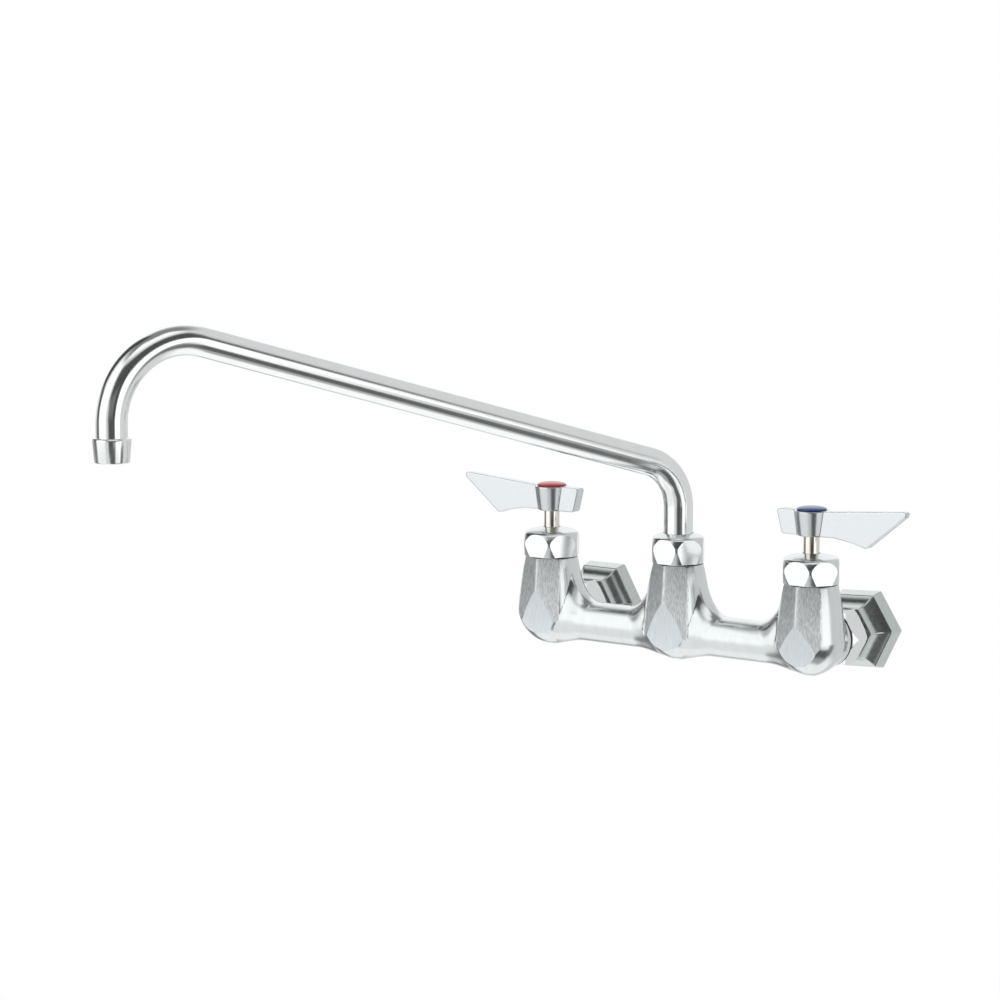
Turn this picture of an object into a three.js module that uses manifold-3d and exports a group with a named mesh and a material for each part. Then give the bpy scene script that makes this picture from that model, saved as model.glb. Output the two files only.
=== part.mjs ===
// Commercial wall faucet: a cast two-valve bar with a swing spout, held to the wall by two
// hexagonal inlet flanges and union nuts. Millimetres. +Z is up, +X runs along the bar to the
// cold side and +Y runs into the wall. The origin lies on the wall plane, midway between the
// two supply pipes. Every Z below is a height over the axis of the supply pipes.

import * as THREE from "three";
import { mergeVertices, toCreasedNormals } from "three/addons/utils/BufferGeometryUtils.js";
import Module from "manifold-3d";

const wasm = await Module();
wasm.setup();

// ---------------------------------------------------------------- driving dimensions

// Layout
const inletCentres = 203.2; // 8 in between the supply pipes
const axisFromWall = 65; // wall plane to the plane of the stems and the spout
const spoutReach = 406.4; // 16 in from the swivel axis to the outlet axis
const spoutSwing = 21.5; // degrees the spout stands to the left of straight out

// Cast body
const valveTop = 38; // shoulder of a valve riser, under its bonnet nut
const spoutTop = 42.2; // shoulder of the middle riser
const castingBottom = -21.1;
const riserWaist = 22.3; // largest radius of a riser
const waistHeight = 2;
const riserBarrel = 1.2; // how far the taper's control point sits inside the waist
const bulbPower = 1.85; // 2 would make the bulb a true ellipse
const valveTopRadius = 17.3;
const spoutTopRadius = 16.4;
const barRadius = 13.3;
const barDrop = 3.3; // bar axis under the supply axis
const coveLegs = [14, 14]; // hollow fillet over the bar: its length on the riser and on the bar
const frontLegs = [4, 7]; // the same on the bar's front and back
const underLegs = [5, 12]; // and under the bar
const filletFullness = 0.75; // weight of a fillet's corner: 1 is a parabola, less is flatter
const filletSteps = 5;
const skinOverlap = 0.2; // how far the fillets start under a riser's skin
const barRoot = 7.8; // distance from a riser's axis to the bar's hidden end
const barRootRadius = 8.6;
const bossRadius = 18.4; // round inlet boss at the back of a valve riser
const bossReach = 21; // stem axis to the boss's end
const bossRoot = 4; // stem axis to the boss's hidden end
const bossFlare = 1.5; // how much wider the boss is there
const bossEdge = 0.8;
const ridgeStand = 0.2; // front ridge beyond the shoulder's radius
const ridgeSpread = 0.08; // how far the ridge leans out going down, per millimetre
const facetTurnTop = 25.5; // degrees each side facet turns away from the front at the shoulder
const facetTurnLow = 18.5; // and from facetTurnHeight down
const facetTurnHeight = 10;
const noseTop = 15; // height where the ridge runs into the low front facet
const noseSlope = 0.215; // how fast that facet falls back at its top
const noseCurve = 312; // radius of the curve that eases it going down

// Threads are plain cylinders at their outer diameter
const valveNeckRadius = 14.4;
const valveNeckHeight = 9;
const spoutNeckRadius = 14.2;
const spoutNeckHeight = 9.6;
const bossThreadRadius = 13.3;
const bossThreadLength = 8;

// Waterways
const chamberRadius = 12.3; // bore that holds a cartridge
const chamberFloor = 0;
const seatPortRadius = 5;
const seatThickness = 3;
const sumpRadius = 8;
const sumpFloor = -13;
const dipRadius = 5; // slanting bore from the inlet down to the sump
const inletBoreRadius = 7;
const inletBoreDepth = 12;
const crossBoreRadius = 4.8;
const crossBoreHeight = 1;
const spoutBoreRadius = 12.2;
const spoutBoreFloor = 12;
const spoutPortRadius = 7.5;
const spoutPortFloor = -5;

// Hexagonal nuts, all with a flat facing the front
const bonnetFlats = 35.3;
const bonnetHeight = 19.2;
const bonnetHoleRadius = 5.6;
const spoutNutFlats = 33;
const spoutNutHeight = 19.4;
const bonnetDome = 3.3; // height of a nut's domed top over its flats
const spoutNutDome = 2.4;
const nutFootShare = 1.045; // radius at a domed nut's foot, in half flats
const nutBellyShare = 0.992; // its widest radius, in half corners
const nutBellyHeight = 0.58; // and the height of that, as a share of the flats
const nutShoulderShare = 1.08; // radius where its shoulder starts, in half flats
const nutShoulderHeight = 0.84;
const nutCrown = [[0, 0], [0.25, 0.62], [1, 1]]; // its dome, as shares inwards and upwards
const couplingFlats = 35;
const couplingLength = 16.4;
const couplingLip = 3; // thickness of the lip that pulls on a flange's collar
const couplingFrontChamfer = 3.5;
const couplingBackChamfer = 1.9;
const nutGap = 0.6; // open line between a nut and the casting
const couplingGap = 1;
const coldFlangeTurn = 2.8; // degrees the cold flange stopped past square

// Inlet flanges
const flangeFlats = 50.4;
const flangeRimFlats = 46.6;
const flangeRim = 9; // thickness of the drafted rim at the wall
const flangeHubFlats = 32.2;
const flangeDepth = 21.2; // wall to the end of the hollow-sided hub
const spigotRadius = 11;
const collarRadius = 12.9;
const collarThickness = 2.5;
const pipeSocketRadius = 10; // tapped socket for the half-inch supply pipe
const pipeSocketDepth = 17;
const washerInset = 0.5; // between a washer's edges and those of the faces it seals

// Cartridge
const cartridgeRadius = 12;
const cartridgeFlangeRadius = 14;
const cartridgeFlange = 2.2;
const cartridgeWall = 2.6;
const windowWidth = 9;
const windowHeight = 6;
const windowFoot = 2;
const gasketThickness = 2;
const discRadius = 9;
const discThickness = 2.8;
const discPortRadius = 2.6;
const stemRadius = 5.15;
const stemFootRadius = 9;
const stemFootHeight = 3.2;
const splineRadius = 4.5;
const splineDepth = 0.45;
const splineTeeth = 10;
const splineLength = 10;
const splineRunout = 0.6; // step from the guide length to the serrations
const stemBelowTop = 5.5; // handle's top to the stem's end
const sealSection = 0.75; // radius of an O-ring's section
const sealSlack = 0.2; // between an O-ring and its groove and bore

// Lever handle
const handleBottom = 69;
const handleTop = 85.3;
const hubTopRadius = 11.4;
const hubBottomRadius = 9;
const bladeThickness = 8;
const bladeTipThickness = 5.2;
const leverReach = 71;
const bladeRise = 4.2; // degrees the blade's upper edge climbs from the hub to the tip
const barbReach = 41.3; // lowest point of the blade
const barbHeight = 64.2;
const tailReach = 23.6;
const tailSlope = 3.4; // how far the tail's lower corner sits inside its upper one
const bladeEdge = 0.7; // rounding of the blade's edges
const bladeRun = 9; // straight lower edge beside the hub
const tipCorner = 2.4;
const barbCorner = 1.4;
const barbRun = 11.6; // the lower edge's curve bends most this far inside the barb
const barbSag = 1.2; // and this far under its straight part
const tailCorner = 1.5;
const hubEdge = 0.5;
const capRadius = 9.75;
const capCrown = 2.4;
const capEdge = 0.4;
const capPlugRadius = 6.8;
const capPlugDepth = 3;
const screwHeadRadius = 4;
const screwHeadHeight = 2.6;
const screwRadius = 2;
const screwLength = 9;
const screwSlotWidth = 1;
const screwSlotDepth = 0.7;
const screwFloor = 1.2; // metal of the handle between the stem's end and the screw's head
const capPlugWall = 1.2;

// Swing spout
const tubeRadius = 9.525; // 3/4 in tube
const tubeWall = 1.25;
const riseStart = 79; // height where the tube leaves the vertical
const swivelBendRadius = 33.4;
const spoutIncline = 16.24; // degrees
const outletBendRadius = 47.7;
const outletHeight = 136.2; // lower edge of the outlet collar
const tubeFoot = 18;
const sleeveInset = 1; // how far the tube stands out under its sleeve
const sleeveRadius = 11.9;
const sleeveFlangeRadius = 13.3;
const sleeveFlange = 2;
const sealHeights = [6, 14]; // O-rings over the sleeve's foot
const washerThickness = 1;
const collarHeight = 13.4;
const collarTopRadius = 11.8;
const collarBottomRadius = 10.5;
const collarShoulder = 3.2; // slope from the tube up to the collar's widest ring
const collarLedge = 0.4; // height of its inner ledge, as a share of the collar
const collarLip = 1.5; // wall at its mouth
const collarEdge = 0.5;
const regulatorThickness = 3.6;
const regulatorInset = 0.8; // from the collar's lower edge up to the regulator
const regulatorHoleRadius = 0.75;
const regulatorHoles = [[0, 1], [3.1, 5], [6.1, 8]]; // radius of each ring and its holes

// Clearances
const seatGap = 0.3; // between pieces that touch
const turningGap = 0.3; // around pieces that turn
const solderGap = 0.15; // around the tube in its sleeve and its collar
const overrun = 1; // how far shapes that are joined or cut run past each other
const cutterWidth = 30; // half width of a facet's cutter, more than any riser's radius

// Facets round a full circle
const fineSides = 28;
const barSides = 18;
const plainSides = 16;
const smallSides = 8;

const radians = THREE.MathUtils.degToRad;
const circleSteps = (sides) => sides / 2; // a full arc is drawn with twice its curve segments

// ---------------------------------------------------------------- solids

// A closed geometry as a manifold solid.
function solidFrom(geometry) {
  const bare = geometry.index ? geometry.toNonIndexed() : geometry.clone();
  bare.deleteAttribute("normal");
  bare.deleteAttribute("uv");
  const merged = mergeVertices(bare, 1e-4);
  const mesh = new wasm.Mesh({
    numProp: 3,
    vertProperties: merged.attributes.position.array,
    triVerts: new Uint32Array(merged.index.array),
  });
  return new wasm.Manifold(mesh);
}

function geometryFrom(solid) {
  const mesh = solid.getMesh();
  const position = new Float32Array(mesh.numVert * 3);
  for (let i = 0; i < mesh.numVert; i += 1) {
    const start = i * mesh.numProp;
    position.set(mesh.vertProperties.subarray(start, start + 3), i * 3);
  }
  const geometry = new THREE.BufferGeometry();
  geometry.setAttribute("position", new THREE.BufferAttribute(position, 3));
  geometry.setIndex(new THREE.BufferAttribute(mesh.triVerts, 1));
  return toCreasedNormals(geometry, radians(28));
}

const join = (first, ...others) => others.reduce((whole, next) => whole.add(next), first);
const cut = (first, ...tools) => tools.reduce((rest, tool) => rest.subtract(tool), first);
const turnedOver = (geometry) => geometry.rotateX(Math.PI / 2);

// A profile of [radius, height] points, listed upwards, revolved round Z. Six sides make a
// hexagon with its corners at the radii given and a flat at the front.
function revolveGeometry(profile, sides = plainSides) {
  const points = profile.map(([radius, height]) => new THREE.Vector2(radius, height));
  const start = sides === 6 ? Math.PI / 6 : 0;
  return turnedOver(new THREE.LatheGeometry(points, sides, start));
}

const revolve = (profile, sides) => solidFrom(revolveGeometry(profile, sides));

function disc(radius, low, high, sides = plainSides) {
  return revolve([[0, low], [radius, low], [radius, high], [0, high]], sides);
}

function ring(inner, outer, low, high, sides = plainSides) {
  return revolve([[inner, low], [outer, low], [outer, high], [inner, high], [inner, low]], sides);
}

const hexagon = (flats, low, high) => disc(flats / Math.sqrt(3), low, high, 6);

function block(width, depth, height, x, y, z) {
  return solidFrom(new THREE.BoxGeometry(width, depth, height).translate(x, y, z));
}

// The same solid laid along the wall's normal: its Z axis turns into +Y.
const alongWallNormal = (geometry) => geometry.rotateX(-Math.PI / 2);

function boreToWall(radius, from, to, sides = plainSides) {
  const profile = [[0, from], [radius, from], [radius, to], [0, to]];
  return solidFrom(alongWallNormal(revolveGeometry(profile, sides)));
}

// Points of a quarter ellipse from angle 0 to 90 degrees, without its first point.
function quarter(steps, place) {
  return Array.from({ length: steps }, (_, i) => place(((i + 1) / steps) * (Math.PI / 2)));
}

function oRing(centreRadius, height) {
  return new THREE.TorusGeometry(centreRadius, sealSection, 4, plainSides).translate(0, 0, height);
}

// ---------------------------------------------------------------- materials

function metal(color, roughness) {
  return new THREE.MeshStandardMaterial({ color, roughness, metalness: 1 });
}

function plain(color, roughness) {
  return new THREE.MeshStandardMaterial({ color, roughness, metalness: 0 });
}

const finishes = {
  brushedChrome: metal(0xc9cdcf, 0.32),
  polishedChrome: metal(0xdfe2e4, 0.12),
  flangeChrome: metal(0xb4bab9, 0.3),
  handleSatin: metal(0xced1d3, 0.4),
  nickel: metal(0xcfc6b8, 0.18),
  brass: metal(0xb08d4a, 0.35),
  steel: metal(0xa8abad, 0.35),
  red: plain(0xc3242b, 0.25),
  blue: plain(0x1c3f8f, 0.25),
  seal: plain(0x1b1b1c, 0.7),
  fibre: plain(0x5b5a52, 0.85),
  ceramic: plain(0xe9e6df, 0.3),
  plastic: plain(0xd9dadb, 0.5),
};

const faucet = new THREE.Group();

function place(parent, name, solid, finish) {
  const geometry = solid.isBufferGeometry ? solid : geometryFrom(solid);
  const mesh = new THREE.Mesh(geometry, finish);
  mesh.name = name;
  parent.add(mesh);
  return mesh;
}

// ---------------------------------------------------------------- cast body

// Radius of a riser's round surface: an oval bulb below the waist, a slight barrel above it.
function riserRadius(height, { top, topRadius }) {
  if (height < waistHeight) {
    const drop = Math.min((waistHeight - height) / (waistHeight - castingBottom), 1);
    return riserWaist * (1 - drop ** bulbPower) ** (1 / bulbPower);
  }
  const share = Math.min((height - waistHeight) / (top - waistHeight), 1);
  const swell = riserWaist - riserBarrel;
  return riserWaist * (1 - share) ** 2 + 2 * swell * share * (1 - share) + topRadius * share ** 2;
}

function riserProfile(sizes) {
  const bulbDepth = waistHeight - castingBottom;
  const bulb = quarter(5, (angle) => waistHeight - bulbDepth * Math.cos(angle) ** (2 / bulbPower));
  const taperSteps = 3;
  const taper = Array.from({ length: taperSteps }, (_, i) => {
    return waistHeight + ((sizes.top - waistHeight) * (i + 1)) / taperSteps;
  });
  const points = [...bulb, ...taper].map((height) => [riserRadius(height, sizes), height]);
  return [[0, castingBottom], ...points, [0, sizes.top]];
}

// The front of a riser has a pair of side facets that meet in an upright ridge and turn a
// little more towards the shoulder, and a low facet on its nose that falls back from the
// ridge's foot.
const ridgeAt = (height, { top, topRadius }) => topRadius + ridgeStand + (top - height) * ridgeSpread;

function facetTurnAt(height, { top }) {
  const share = THREE.MathUtils.clamp((height - facetTurnHeight) / (top - facetTurnHeight), 0, 1);
  return radians(facetTurnLow + (facetTurnTop - facetTurnLow) * share);
}

function noseAt(height, sizes) {
  const drop = noseTop - height;
  const ease = drop > 0 ? (drop * drop) / (2 * noseCurve) : 0;
  return ridgeAt(noseTop, sizes) - noseSlope * drop + ease;
}

// Everything in front of a face that is given level by level: how far out it stands over
// x = 0, and how far it turns back to the right, in radians.
function frontCutter(levels, standsAt, turnAt) {
  const across = [1, 1 / 2, 1 / 3, 1 / 6, 0, -1].map((share) => share * cutterWidth);
  const positions = [];
  for (const height of levels) {
    const turn = turnAt(height);
    const stand = standsAt(height);
    across.forEach((u) => positions.push(u * Math.cos(turn), u * Math.sin(turn) - stand, height));
    const front = -stand - cutterWidth;
    positions.push(across.at(-1), front, height, across[0], front, height);
  }
  return solidFrom(loft(positions, across.length + 2));
}

function riser(sizes) {
  const low = castingBottom - overrun;
  const high = sizes.top + overrun;
  const noseSteps = 4;
  const noseLevels = Array.from({ length: noseSteps + 1 }, (_, i) => {
    return low + ((noseTop - low) * i) / noseSteps;
  });
  const ridge = (height) => ridgeAt(height, sizes);
  const rightSide = frontCutter([low, facetTurnHeight, high], ridge, (height) => facetTurnAt(height, sizes));
  const nose = frontCutter([...noseLevels, high], (height) => noseAt(height, sizes), () => 0);
  return cut(revolve(riserProfile(sizes), fineSides), rightSide, rightSide.mirror([1, 0, 0]), nose);
}

// Roughly how far a point lies outside a riser's skin, measured from the riser's axis.
function outsideRiser({ x, y, z }, sizes) {
  const step = 0.5;
  const slope = (riserRadius(z + step, sizes) - riserRadius(z - step, sizes)) / (2 * step);
  const round = (Math.hypot(x, y) - riserRadius(z, sizes)) / Math.hypot(1, slope);
  const turn = facetTurnAt(z, sizes);
  const side = Math.abs(x) * Math.sin(turn) - (y + ridgeAt(z, sizes)) * Math.cos(turn);
  return Math.max(round, side, -y - noseAt(z, sizes));
}

function riserNormal(point, sizes) {
  const step = 0.05;
  const rise = (direction) => {
    const ahead = outsideRiser(point.clone().addScaledVector(direction, step), sizes);
    return ahead - outsideRiser(point.clone().addScaledVector(direction, -step), sizes);
  };
  const [x, y, z] = [[1, 0, 0], [0, 1, 0], [0, 0, 1]].map((axis) => rise(new THREE.Vector3(...axis)));
  return new THREE.Vector3(x, y, z).normalize();
}

// The hollow fillet from a riser onto the bar, at an angle round the bar: points from just
// under the riser's skin to the bar's straight line.
function filletPoints(angle, sizes) {
  const up = Math.sin(angle);
  const corner = new THREE.Vector3(0, barRadius * Math.cos(angle), barRadius * up - barDrop);
  let inside = 0;
  let outside = 2 * riserWaist;
  for (let i = 0; i < 16; i += 1) {
    corner.x = (inside + outside) / 2;
    if (outsideRiser(corner, sizes) > 0) outside = corner.x;
    else inside = corner.x;
  }
  const legs = up > 0 ? coveLegs : underLegs;
  const [onRiser, onBar] = legs.map((leg, i) => frontLegs[i] + (leg - frontLegs[i]) * Math.abs(up));
  const away = new THREE.Vector3(0, Math.cos(angle), up);
  const cornerNormal = riserNormal(corner, sizes);
  away.addScaledVector(cornerNormal, -away.dot(cornerNormal)).normalize();
  const root = corner.clone().addScaledVector(away, onRiser);
  root.addScaledVector(riserNormal(root, sizes), -outsideRiser(root, sizes) - skinOverlap);
  const foot = corner.clone().setX(corner.x + onBar);
  return Array.from({ length: filletSteps + 1 }, (_, i) => {
    const t = i / filletSteps;
    const weights = [(1 - t) ** 2, 2 * filletFullness * t * (1 - t), t ** 2];
    const total = weights[0] + weights[1] + weights[2];
    const point = new THREE.Vector3();
    [root, corner, foot].forEach((end, k) => point.addScaledVector(end, weights[k] / total));
    return point;
  });
}

// The bar between two risers: it starts inside one of them, leaves it through the fillet and
// enters the other one the same way.
function barBetween(startX, startSizes, endX, endSizes) {
  const sides = barSides;
  const angles = Array.from({ length: sides }, (_, i) => (i / sides) * 2 * Math.PI);
  const ringsOf = (sizes) => {
    const rings = Array.from({ length: filletSteps + 2 }, () => []);
    for (const angle of angles) {
      const rootY = barRootRadius * Math.cos(angle);
      rings[0].push(new THREE.Vector3(barRoot, rootY, barRootRadius * Math.sin(angle) - barDrop));
      filletPoints(angle, sizes).forEach((point, k) => rings[k + 1].push(point));
    }
    return rings;
  };
  const start = ringsOf(startSizes).flat().flatMap((p) => [startX + p.x, p.y, p.z]);
  const end = ringsOf(endSizes).reverse().flat().flatMap((p) => [endX - p.x, p.y, p.z]);
  return solidFrom(loft([...start, ...end], sides));
}

// Closed skin over rings of equal point counts, listed so that each turns anticlockwise
// seen from the last ring's end.
function loft(positions, sides) {
  const rings = positions.length / 3 / sides;
  const faces = [];
  for (let r = 0; r + 1 < rings; r += 1) {
    for (let i = 0; i < sides; i += 1) {
      const a = r * sides + i;
      const b = r * sides + ((i + 1) % sides);
      faces.push(a, b, b + sides, a, b + sides, a + sides);
    }
  }
  const lastStart = (rings - 1) * sides;
  for (let i = 1; i + 1 < sides; i += 1) {
    faces.push(0, i + 1, i);
    faces.push(lastStart, lastStart + i, lastStart + i + 1);
  }
  const geometry = new THREE.BufferGeometry();
  geometry.setAttribute("position", new THREE.Float32BufferAttribute(positions, 3));
  geometry.setIndex(faces);
  return geometry;
}

// Round boss at the back of a valve riser with the union thread on its end.
function inletBoss() {
  const threadEnd = bossReach + bossThreadLength;
  const profile = [
    [0, bossRoot],
    [bossRadius + bossFlare, bossRoot],
    [bossRadius + bossFlare / 3, (bossRoot + bossReach) / 2],
    [bossRadius, bossReach - bossEdge],
    [bossRadius - bossEdge, bossReach],
    [bossThreadRadius, bossReach],
    [bossThreadRadius, threadEnd],
    [0, threadEnd],
  ];
  return solidFrom(alongWallNormal(revolveGeometry(profile, fineSides)));
}

// Supply water dips under the seat, rises through its port into the cartridge, and leaves the
// cartridge's windows into the chamber.
function valveBores() {
  const dipStart = new THREE.Vector3(0, 0, (sumpFloor + chamberFloor) / 2 - overrun);
  const dipEnd = new THREE.Vector3(0, bossReach - 2 * overrun, 0);
  const slope = dipEnd.clone().sub(dipStart);
  const slant = new THREE.CylinderGeometry(dipRadius, dipRadius, slope.length(), smallSides);
  const upright = new THREE.Vector3(0, 1, 0);
  slant.applyQuaternion(new THREE.Quaternion().setFromUnitVectors(upright, slope.normalize()));
  const middle = dipStart.clone().add(dipEnd).multiplyScalar(0.5);
  const bossEnd = bossReach + bossThreadLength;
  return join(
    disc(chamberRadius, chamberFloor, valveTop + valveNeckHeight + overrun),
    disc(seatPortRadius, sumpFloor + overrun, chamberFloor + overrun, smallSides),
    disc(sumpRadius, sumpFloor, chamberFloor - seatThickness, smallSides),
    solidFrom(slant.translate(middle.x, middle.y, middle.z)),
    boreToWall(inletBoreRadius, bossEnd - inletBoreDepth, bossEnd + overrun, smallSides),
  );
}

function spoutBores() {
  return join(
    disc(spoutBoreRadius, spoutBoreFloor, spoutTop + spoutNeckHeight + overrun, fineSides),
    disc(spoutPortRadius, spoutPortFloor, spoutBoreFloor + overrun, smallSides),
  );
}

function crossBore() {
  const from = -inletCentres / 2 + chamberRadius - 3 * overrun;
  const bore = new THREE.CylinderGeometry(crossBoreRadius, crossBoreRadius, -2 * from, smallSides);
  return solidFrom(bore.rotateZ(Math.PI / 2).translate(0, 0, crossBoreHeight));
}

function castBody() {
  const half = inletCentres / 2;
  const valveNeck = disc(valveNeckRadius, valveTop - overrun, valveTop + valveNeckHeight);
  const valveSizes = { top: valveTop, topRadius: valveTopRadius };
  const spoutSizes = { top: spoutTop, topRadius: spoutTopRadius };
  const valveUnit = join(riser(valveSizes), inletBoss(), valveNeck);
  const spoutNeck = disc(spoutNeckRadius, spoutTop - overrun, spoutTop + spoutNeckHeight);
  const solid = join(
    riser(spoutSizes),
    spoutNeck,
    valveUnit.translate([-half, 0, 0]),
    valveUnit.translate([half, 0, 0]),
    barBetween(-half, valveSizes, 0, spoutSizes),
    barBetween(0, spoutSizes, half, valveSizes),
  );
  const valveBore = valveBores();
  return cut(
    solid,
    spoutBores(),
    valveBore.translate([-half, 0, 0]),
    valveBore.translate([half, 0, 0]),
    crossBore(),
  );
}

// ---------------------------------------------------------------- hexagonal nuts

// A domed hexagonal nut, standing on height 0: a hexagon inside a turned shape that is widest
// part way up, which leaves shield-shaped flats with dark triangles between them.
function domedNut({ flats, height, dome, hole }) {
  const apothem = flats / 2;
  const corner = flats / Math.sqrt(3);
  const flatTop = height - dome;
  const profile = [
    [0, 0],
    [apothem * nutFootShare, 0],
    [corner * nutBellyShare, flatTop * nutBellyHeight],
    [apothem * nutShoulderShare, flatTop * nutShoulderHeight],
    ...nutCrown.map(([inward, upward]) => [
      apothem - (apothem - hole) * inward,
      flatTop + dome * upward,
    ]),
    [0, height],
  ];
  return revolve(profile, fineSides).intersect(hexagon(flats, 0, height));
}

// The same nut with its thread, up to the shoulder that clamps what it holds.
function threadedNut(sizes, threadRadius, shoulder) {
  return cut(
    domedNut(sizes),
    disc(threadRadius + turningGap, -overrun, shoulder),
    disc(sizes.hole, 0, sizes.height + overrun, fineSides),
  );
}

// The union nut that draws a flange's spigot against the boss, its axis along Z here.
function couplingNut() {
  const apothem = couplingFlats / 2;
  const corner = couplingFlats / Math.sqrt(3);
  const profile = [
    [0, 0],
    [apothem, 0],
    [corner, couplingFrontChamfer],
    [corner, couplingLength - couplingBackChamfer],
    [apothem, couplingLength],
    [0, couplingLength],
  ];
  const shoulderDepth = couplingLength - couplingLip;
  return cut(
    revolve(profile, fineSides).intersect(hexagon(couplingFlats, 0, couplingLength)),
    disc(bossThreadRadius + turningGap, -overrun, shoulderDepth),
    disc(spigotRadius + turningGap, 0, couplingLength + overrun),
  );
}

// ---------------------------------------------------------------- inlet side

// Hexagonal flange, listed from the wall outwards: drafted rim, hollow sides, hub, then the
// round spigot with the collar that the union nut pulls on.
function inletFlange() {
  const across = (flats) => flats / Math.sqrt(3);
  const coveWidth = across(flangeRimFlats) - across(flangeHubFlats);
  const coveDepth = flangeDepth - flangeRim;
  const cove = quarter(5, (angle) => [
    across(flangeRimFlats) - coveWidth * Math.sin(angle),
    flangeRim + coveDepth * (1 - Math.cos(angle)),
  ]);
  const hexPart = revolve(
    [[0, 0], [across(flangeFlats), 0], [across(flangeRimFlats), flangeRim], ...cove, [0, flangeDepth]],
    6,
  );
  const washerFace = axisFromWall - bossReach - bossThreadLength - gasketThickness - 2 * seatGap;
  const spigot = join(
    disc(spigotRadius, flangeDepth - overrun, washerFace),
    disc(collarRadius, washerFace - collarThickness, washerFace),
  );
  return cut(
    join(hexPart, spigot),
    disc(pipeSocketRadius, -overrun, pipeSocketDepth),
    disc(inletBoreRadius, 0, axisFromWall),
  );
}

function fibreWasher() {
  const start = axisFromWall - bossReach - bossThreadLength - gasketThickness - seatGap;
  const inner = inletBoreRadius + washerInset;
  return ring(inner, collarRadius - washerInset, start, start + gasketThickness);
}

// ---------------------------------------------------------------- valve internals

const gasketTop = chamberFloor + seatGap + gasketThickness;
const fixedDiscFoot = gasketTop + seatGap;
const movingDiscFoot = fixedDiscFoot + discThickness + seatGap;
const stemFoot = movingDiscFoot + discThickness + seatGap;
const barrelShoulder = stemFoot + stemFootHeight + seatGap;
const neckTop = valveTop + valveNeckHeight;
const barrelTop = neckTop + seatGap + cartridgeFlange;
const bonnetFoot = valveTop + nutGap;
const stemTop = handleTop - stemBelowTop;
const stemSealHeight = valveTop;
const stemSealRadius = stemRadius + turningGap - sealSlack - sealSection;
const stemGrooveRadius = stemSealRadius - sealSection - sealSlack;

// Sleeve that holds the discs and guides the stem, with two water windows.
function cartridgeBarrel() {
  const foot = gasketTop + seatGap;
  const guide = stemRadius + turningGap;
  const windowZ = foot + windowFoot + windowHeight / 2;
  return cut(
    join(disc(cartridgeRadius, foot, barrelTop), disc(cartridgeFlangeRadius, neckTop + seatGap, barrelTop)),
    disc(cartridgeRadius - cartridgeWall, 0, barrelShoulder),
    disc(guide, 0, barrelTop + overrun),
    block(3 * cartridgeRadius, windowWidth, windowHeight, 0, 0, windowZ),
  );
}

// Ceramic disc with two round ports.
function portedDisc(low) {
  const port = disc(discPortRadius, low - overrun, low + discThickness + overrun, smallSides);
  const offset = discRadius / 2;
  return cut(
    disc(discRadius, low, low + discThickness),
    port.translate([0, offset, 0]),
    port.translate([0, -offset, 0]),
  );
}

function splineShape(tipRadius) {
  const shape = new THREE.Shape();
  const points = [];
  for (let i = 0; i < splineTeeth * 2; i += 1) {
    const radius = i % 2 ? tipRadius - splineDepth : tipRadius;
    const angle = (i / (splineTeeth * 2)) * 2 * Math.PI;
    points.push(new THREE.Vector2(radius * Math.cos(angle), radius * Math.sin(angle)));
  }
  return shape.setFromPoints(points);
}

function spline(tipRadius, low, high) {
  const options = { depth: high - low, bevelEnabled: false };
  return solidFrom(new THREE.ExtrudeGeometry(splineShape(tipRadius), options).translate(0, 0, low));
}

// Foot with the drive flange, guide length with its seal groove, and the serrated top.
function stem() {
  const groove = stemGrooveRadius;
  const grooveHalf = sealSection + sealSlack;
  const splineFoot = stemTop - splineLength;
  const profile = [
    [0, stemFoot],
    [stemFootRadius, stemFoot],
    [stemFootRadius, stemFoot + stemFootHeight],
    [stemRadius, stemFoot + stemFootHeight],
    [stemRadius, stemSealHeight - grooveHalf],
    [groove, stemSealHeight - grooveHalf],
    [groove, stemSealHeight + grooveHalf],
    [stemRadius, stemSealHeight + grooveHalf],
    [stemRadius, splineFoot - splineRunout],
    [splineRadius, splineFoot + splineDepth],
    [0, splineFoot + splineDepth],
  ];
  const holeFoot = stemTop - screwLength - overrun;
  const screwHole = disc(screwRadius + seatGap, holeFoot, stemTop + overrun, smallSides);
  return cut(join(revolve(profile), spline(splineRadius, splineFoot, stemTop)), screwHole);
}

// ---------------------------------------------------------------- lever handle

// Side view of the blade, +X towards the tip and Y as height.
function bladeShape() {
  const rise = Math.tan(radians(bladeRise));
  const shape = new THREE.Shape();
  const topAt = (x) => handleTop - bladeEdge + Math.max(0, x - hubTopRadius) * rise;
  const tip = leverReach - bladeEdge;
  const tail = -tailReach + bladeEdge;
  const bottom = handleBottom + bladeEdge;
  const barb = barbHeight + bladeEdge;
  const round = tipCorner / 2;
  shape.moveTo(tail + tailCorner, topAt(0));
  shape.lineTo(hubTopRadius, topAt(0));
  shape.lineTo(tip - tipCorner, topAt(tip));
  shape.quadraticCurveTo(tip, topAt(tip), tip - round, topAt(tip) - tipCorner);
  shape.lineTo(barbReach + barbCorner, barb + barbCorner / 2);
  shape.quadraticCurveTo(barbReach, barb - barbCorner / 4, barbReach - barbCorner, barb + barbCorner / 4);
  shape.quadraticCurveTo(barbReach - barbRun, bottom - barbSag, hubBottomRadius + bladeRun, bottom);
  shape.lineTo(tail + tailSlope + tailCorner, bottom);
  shape.quadraticCurveTo(tail + tailSlope, bottom, tail + tailSlope - tailCorner / 4, bottom + tailCorner);
  shape.lineTo(tail, topAt(0) - tailCorner);
  shape.quadraticCurveTo(tail, topAt(0), tail + tailCorner, topAt(0));
  return shape;
}

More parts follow.
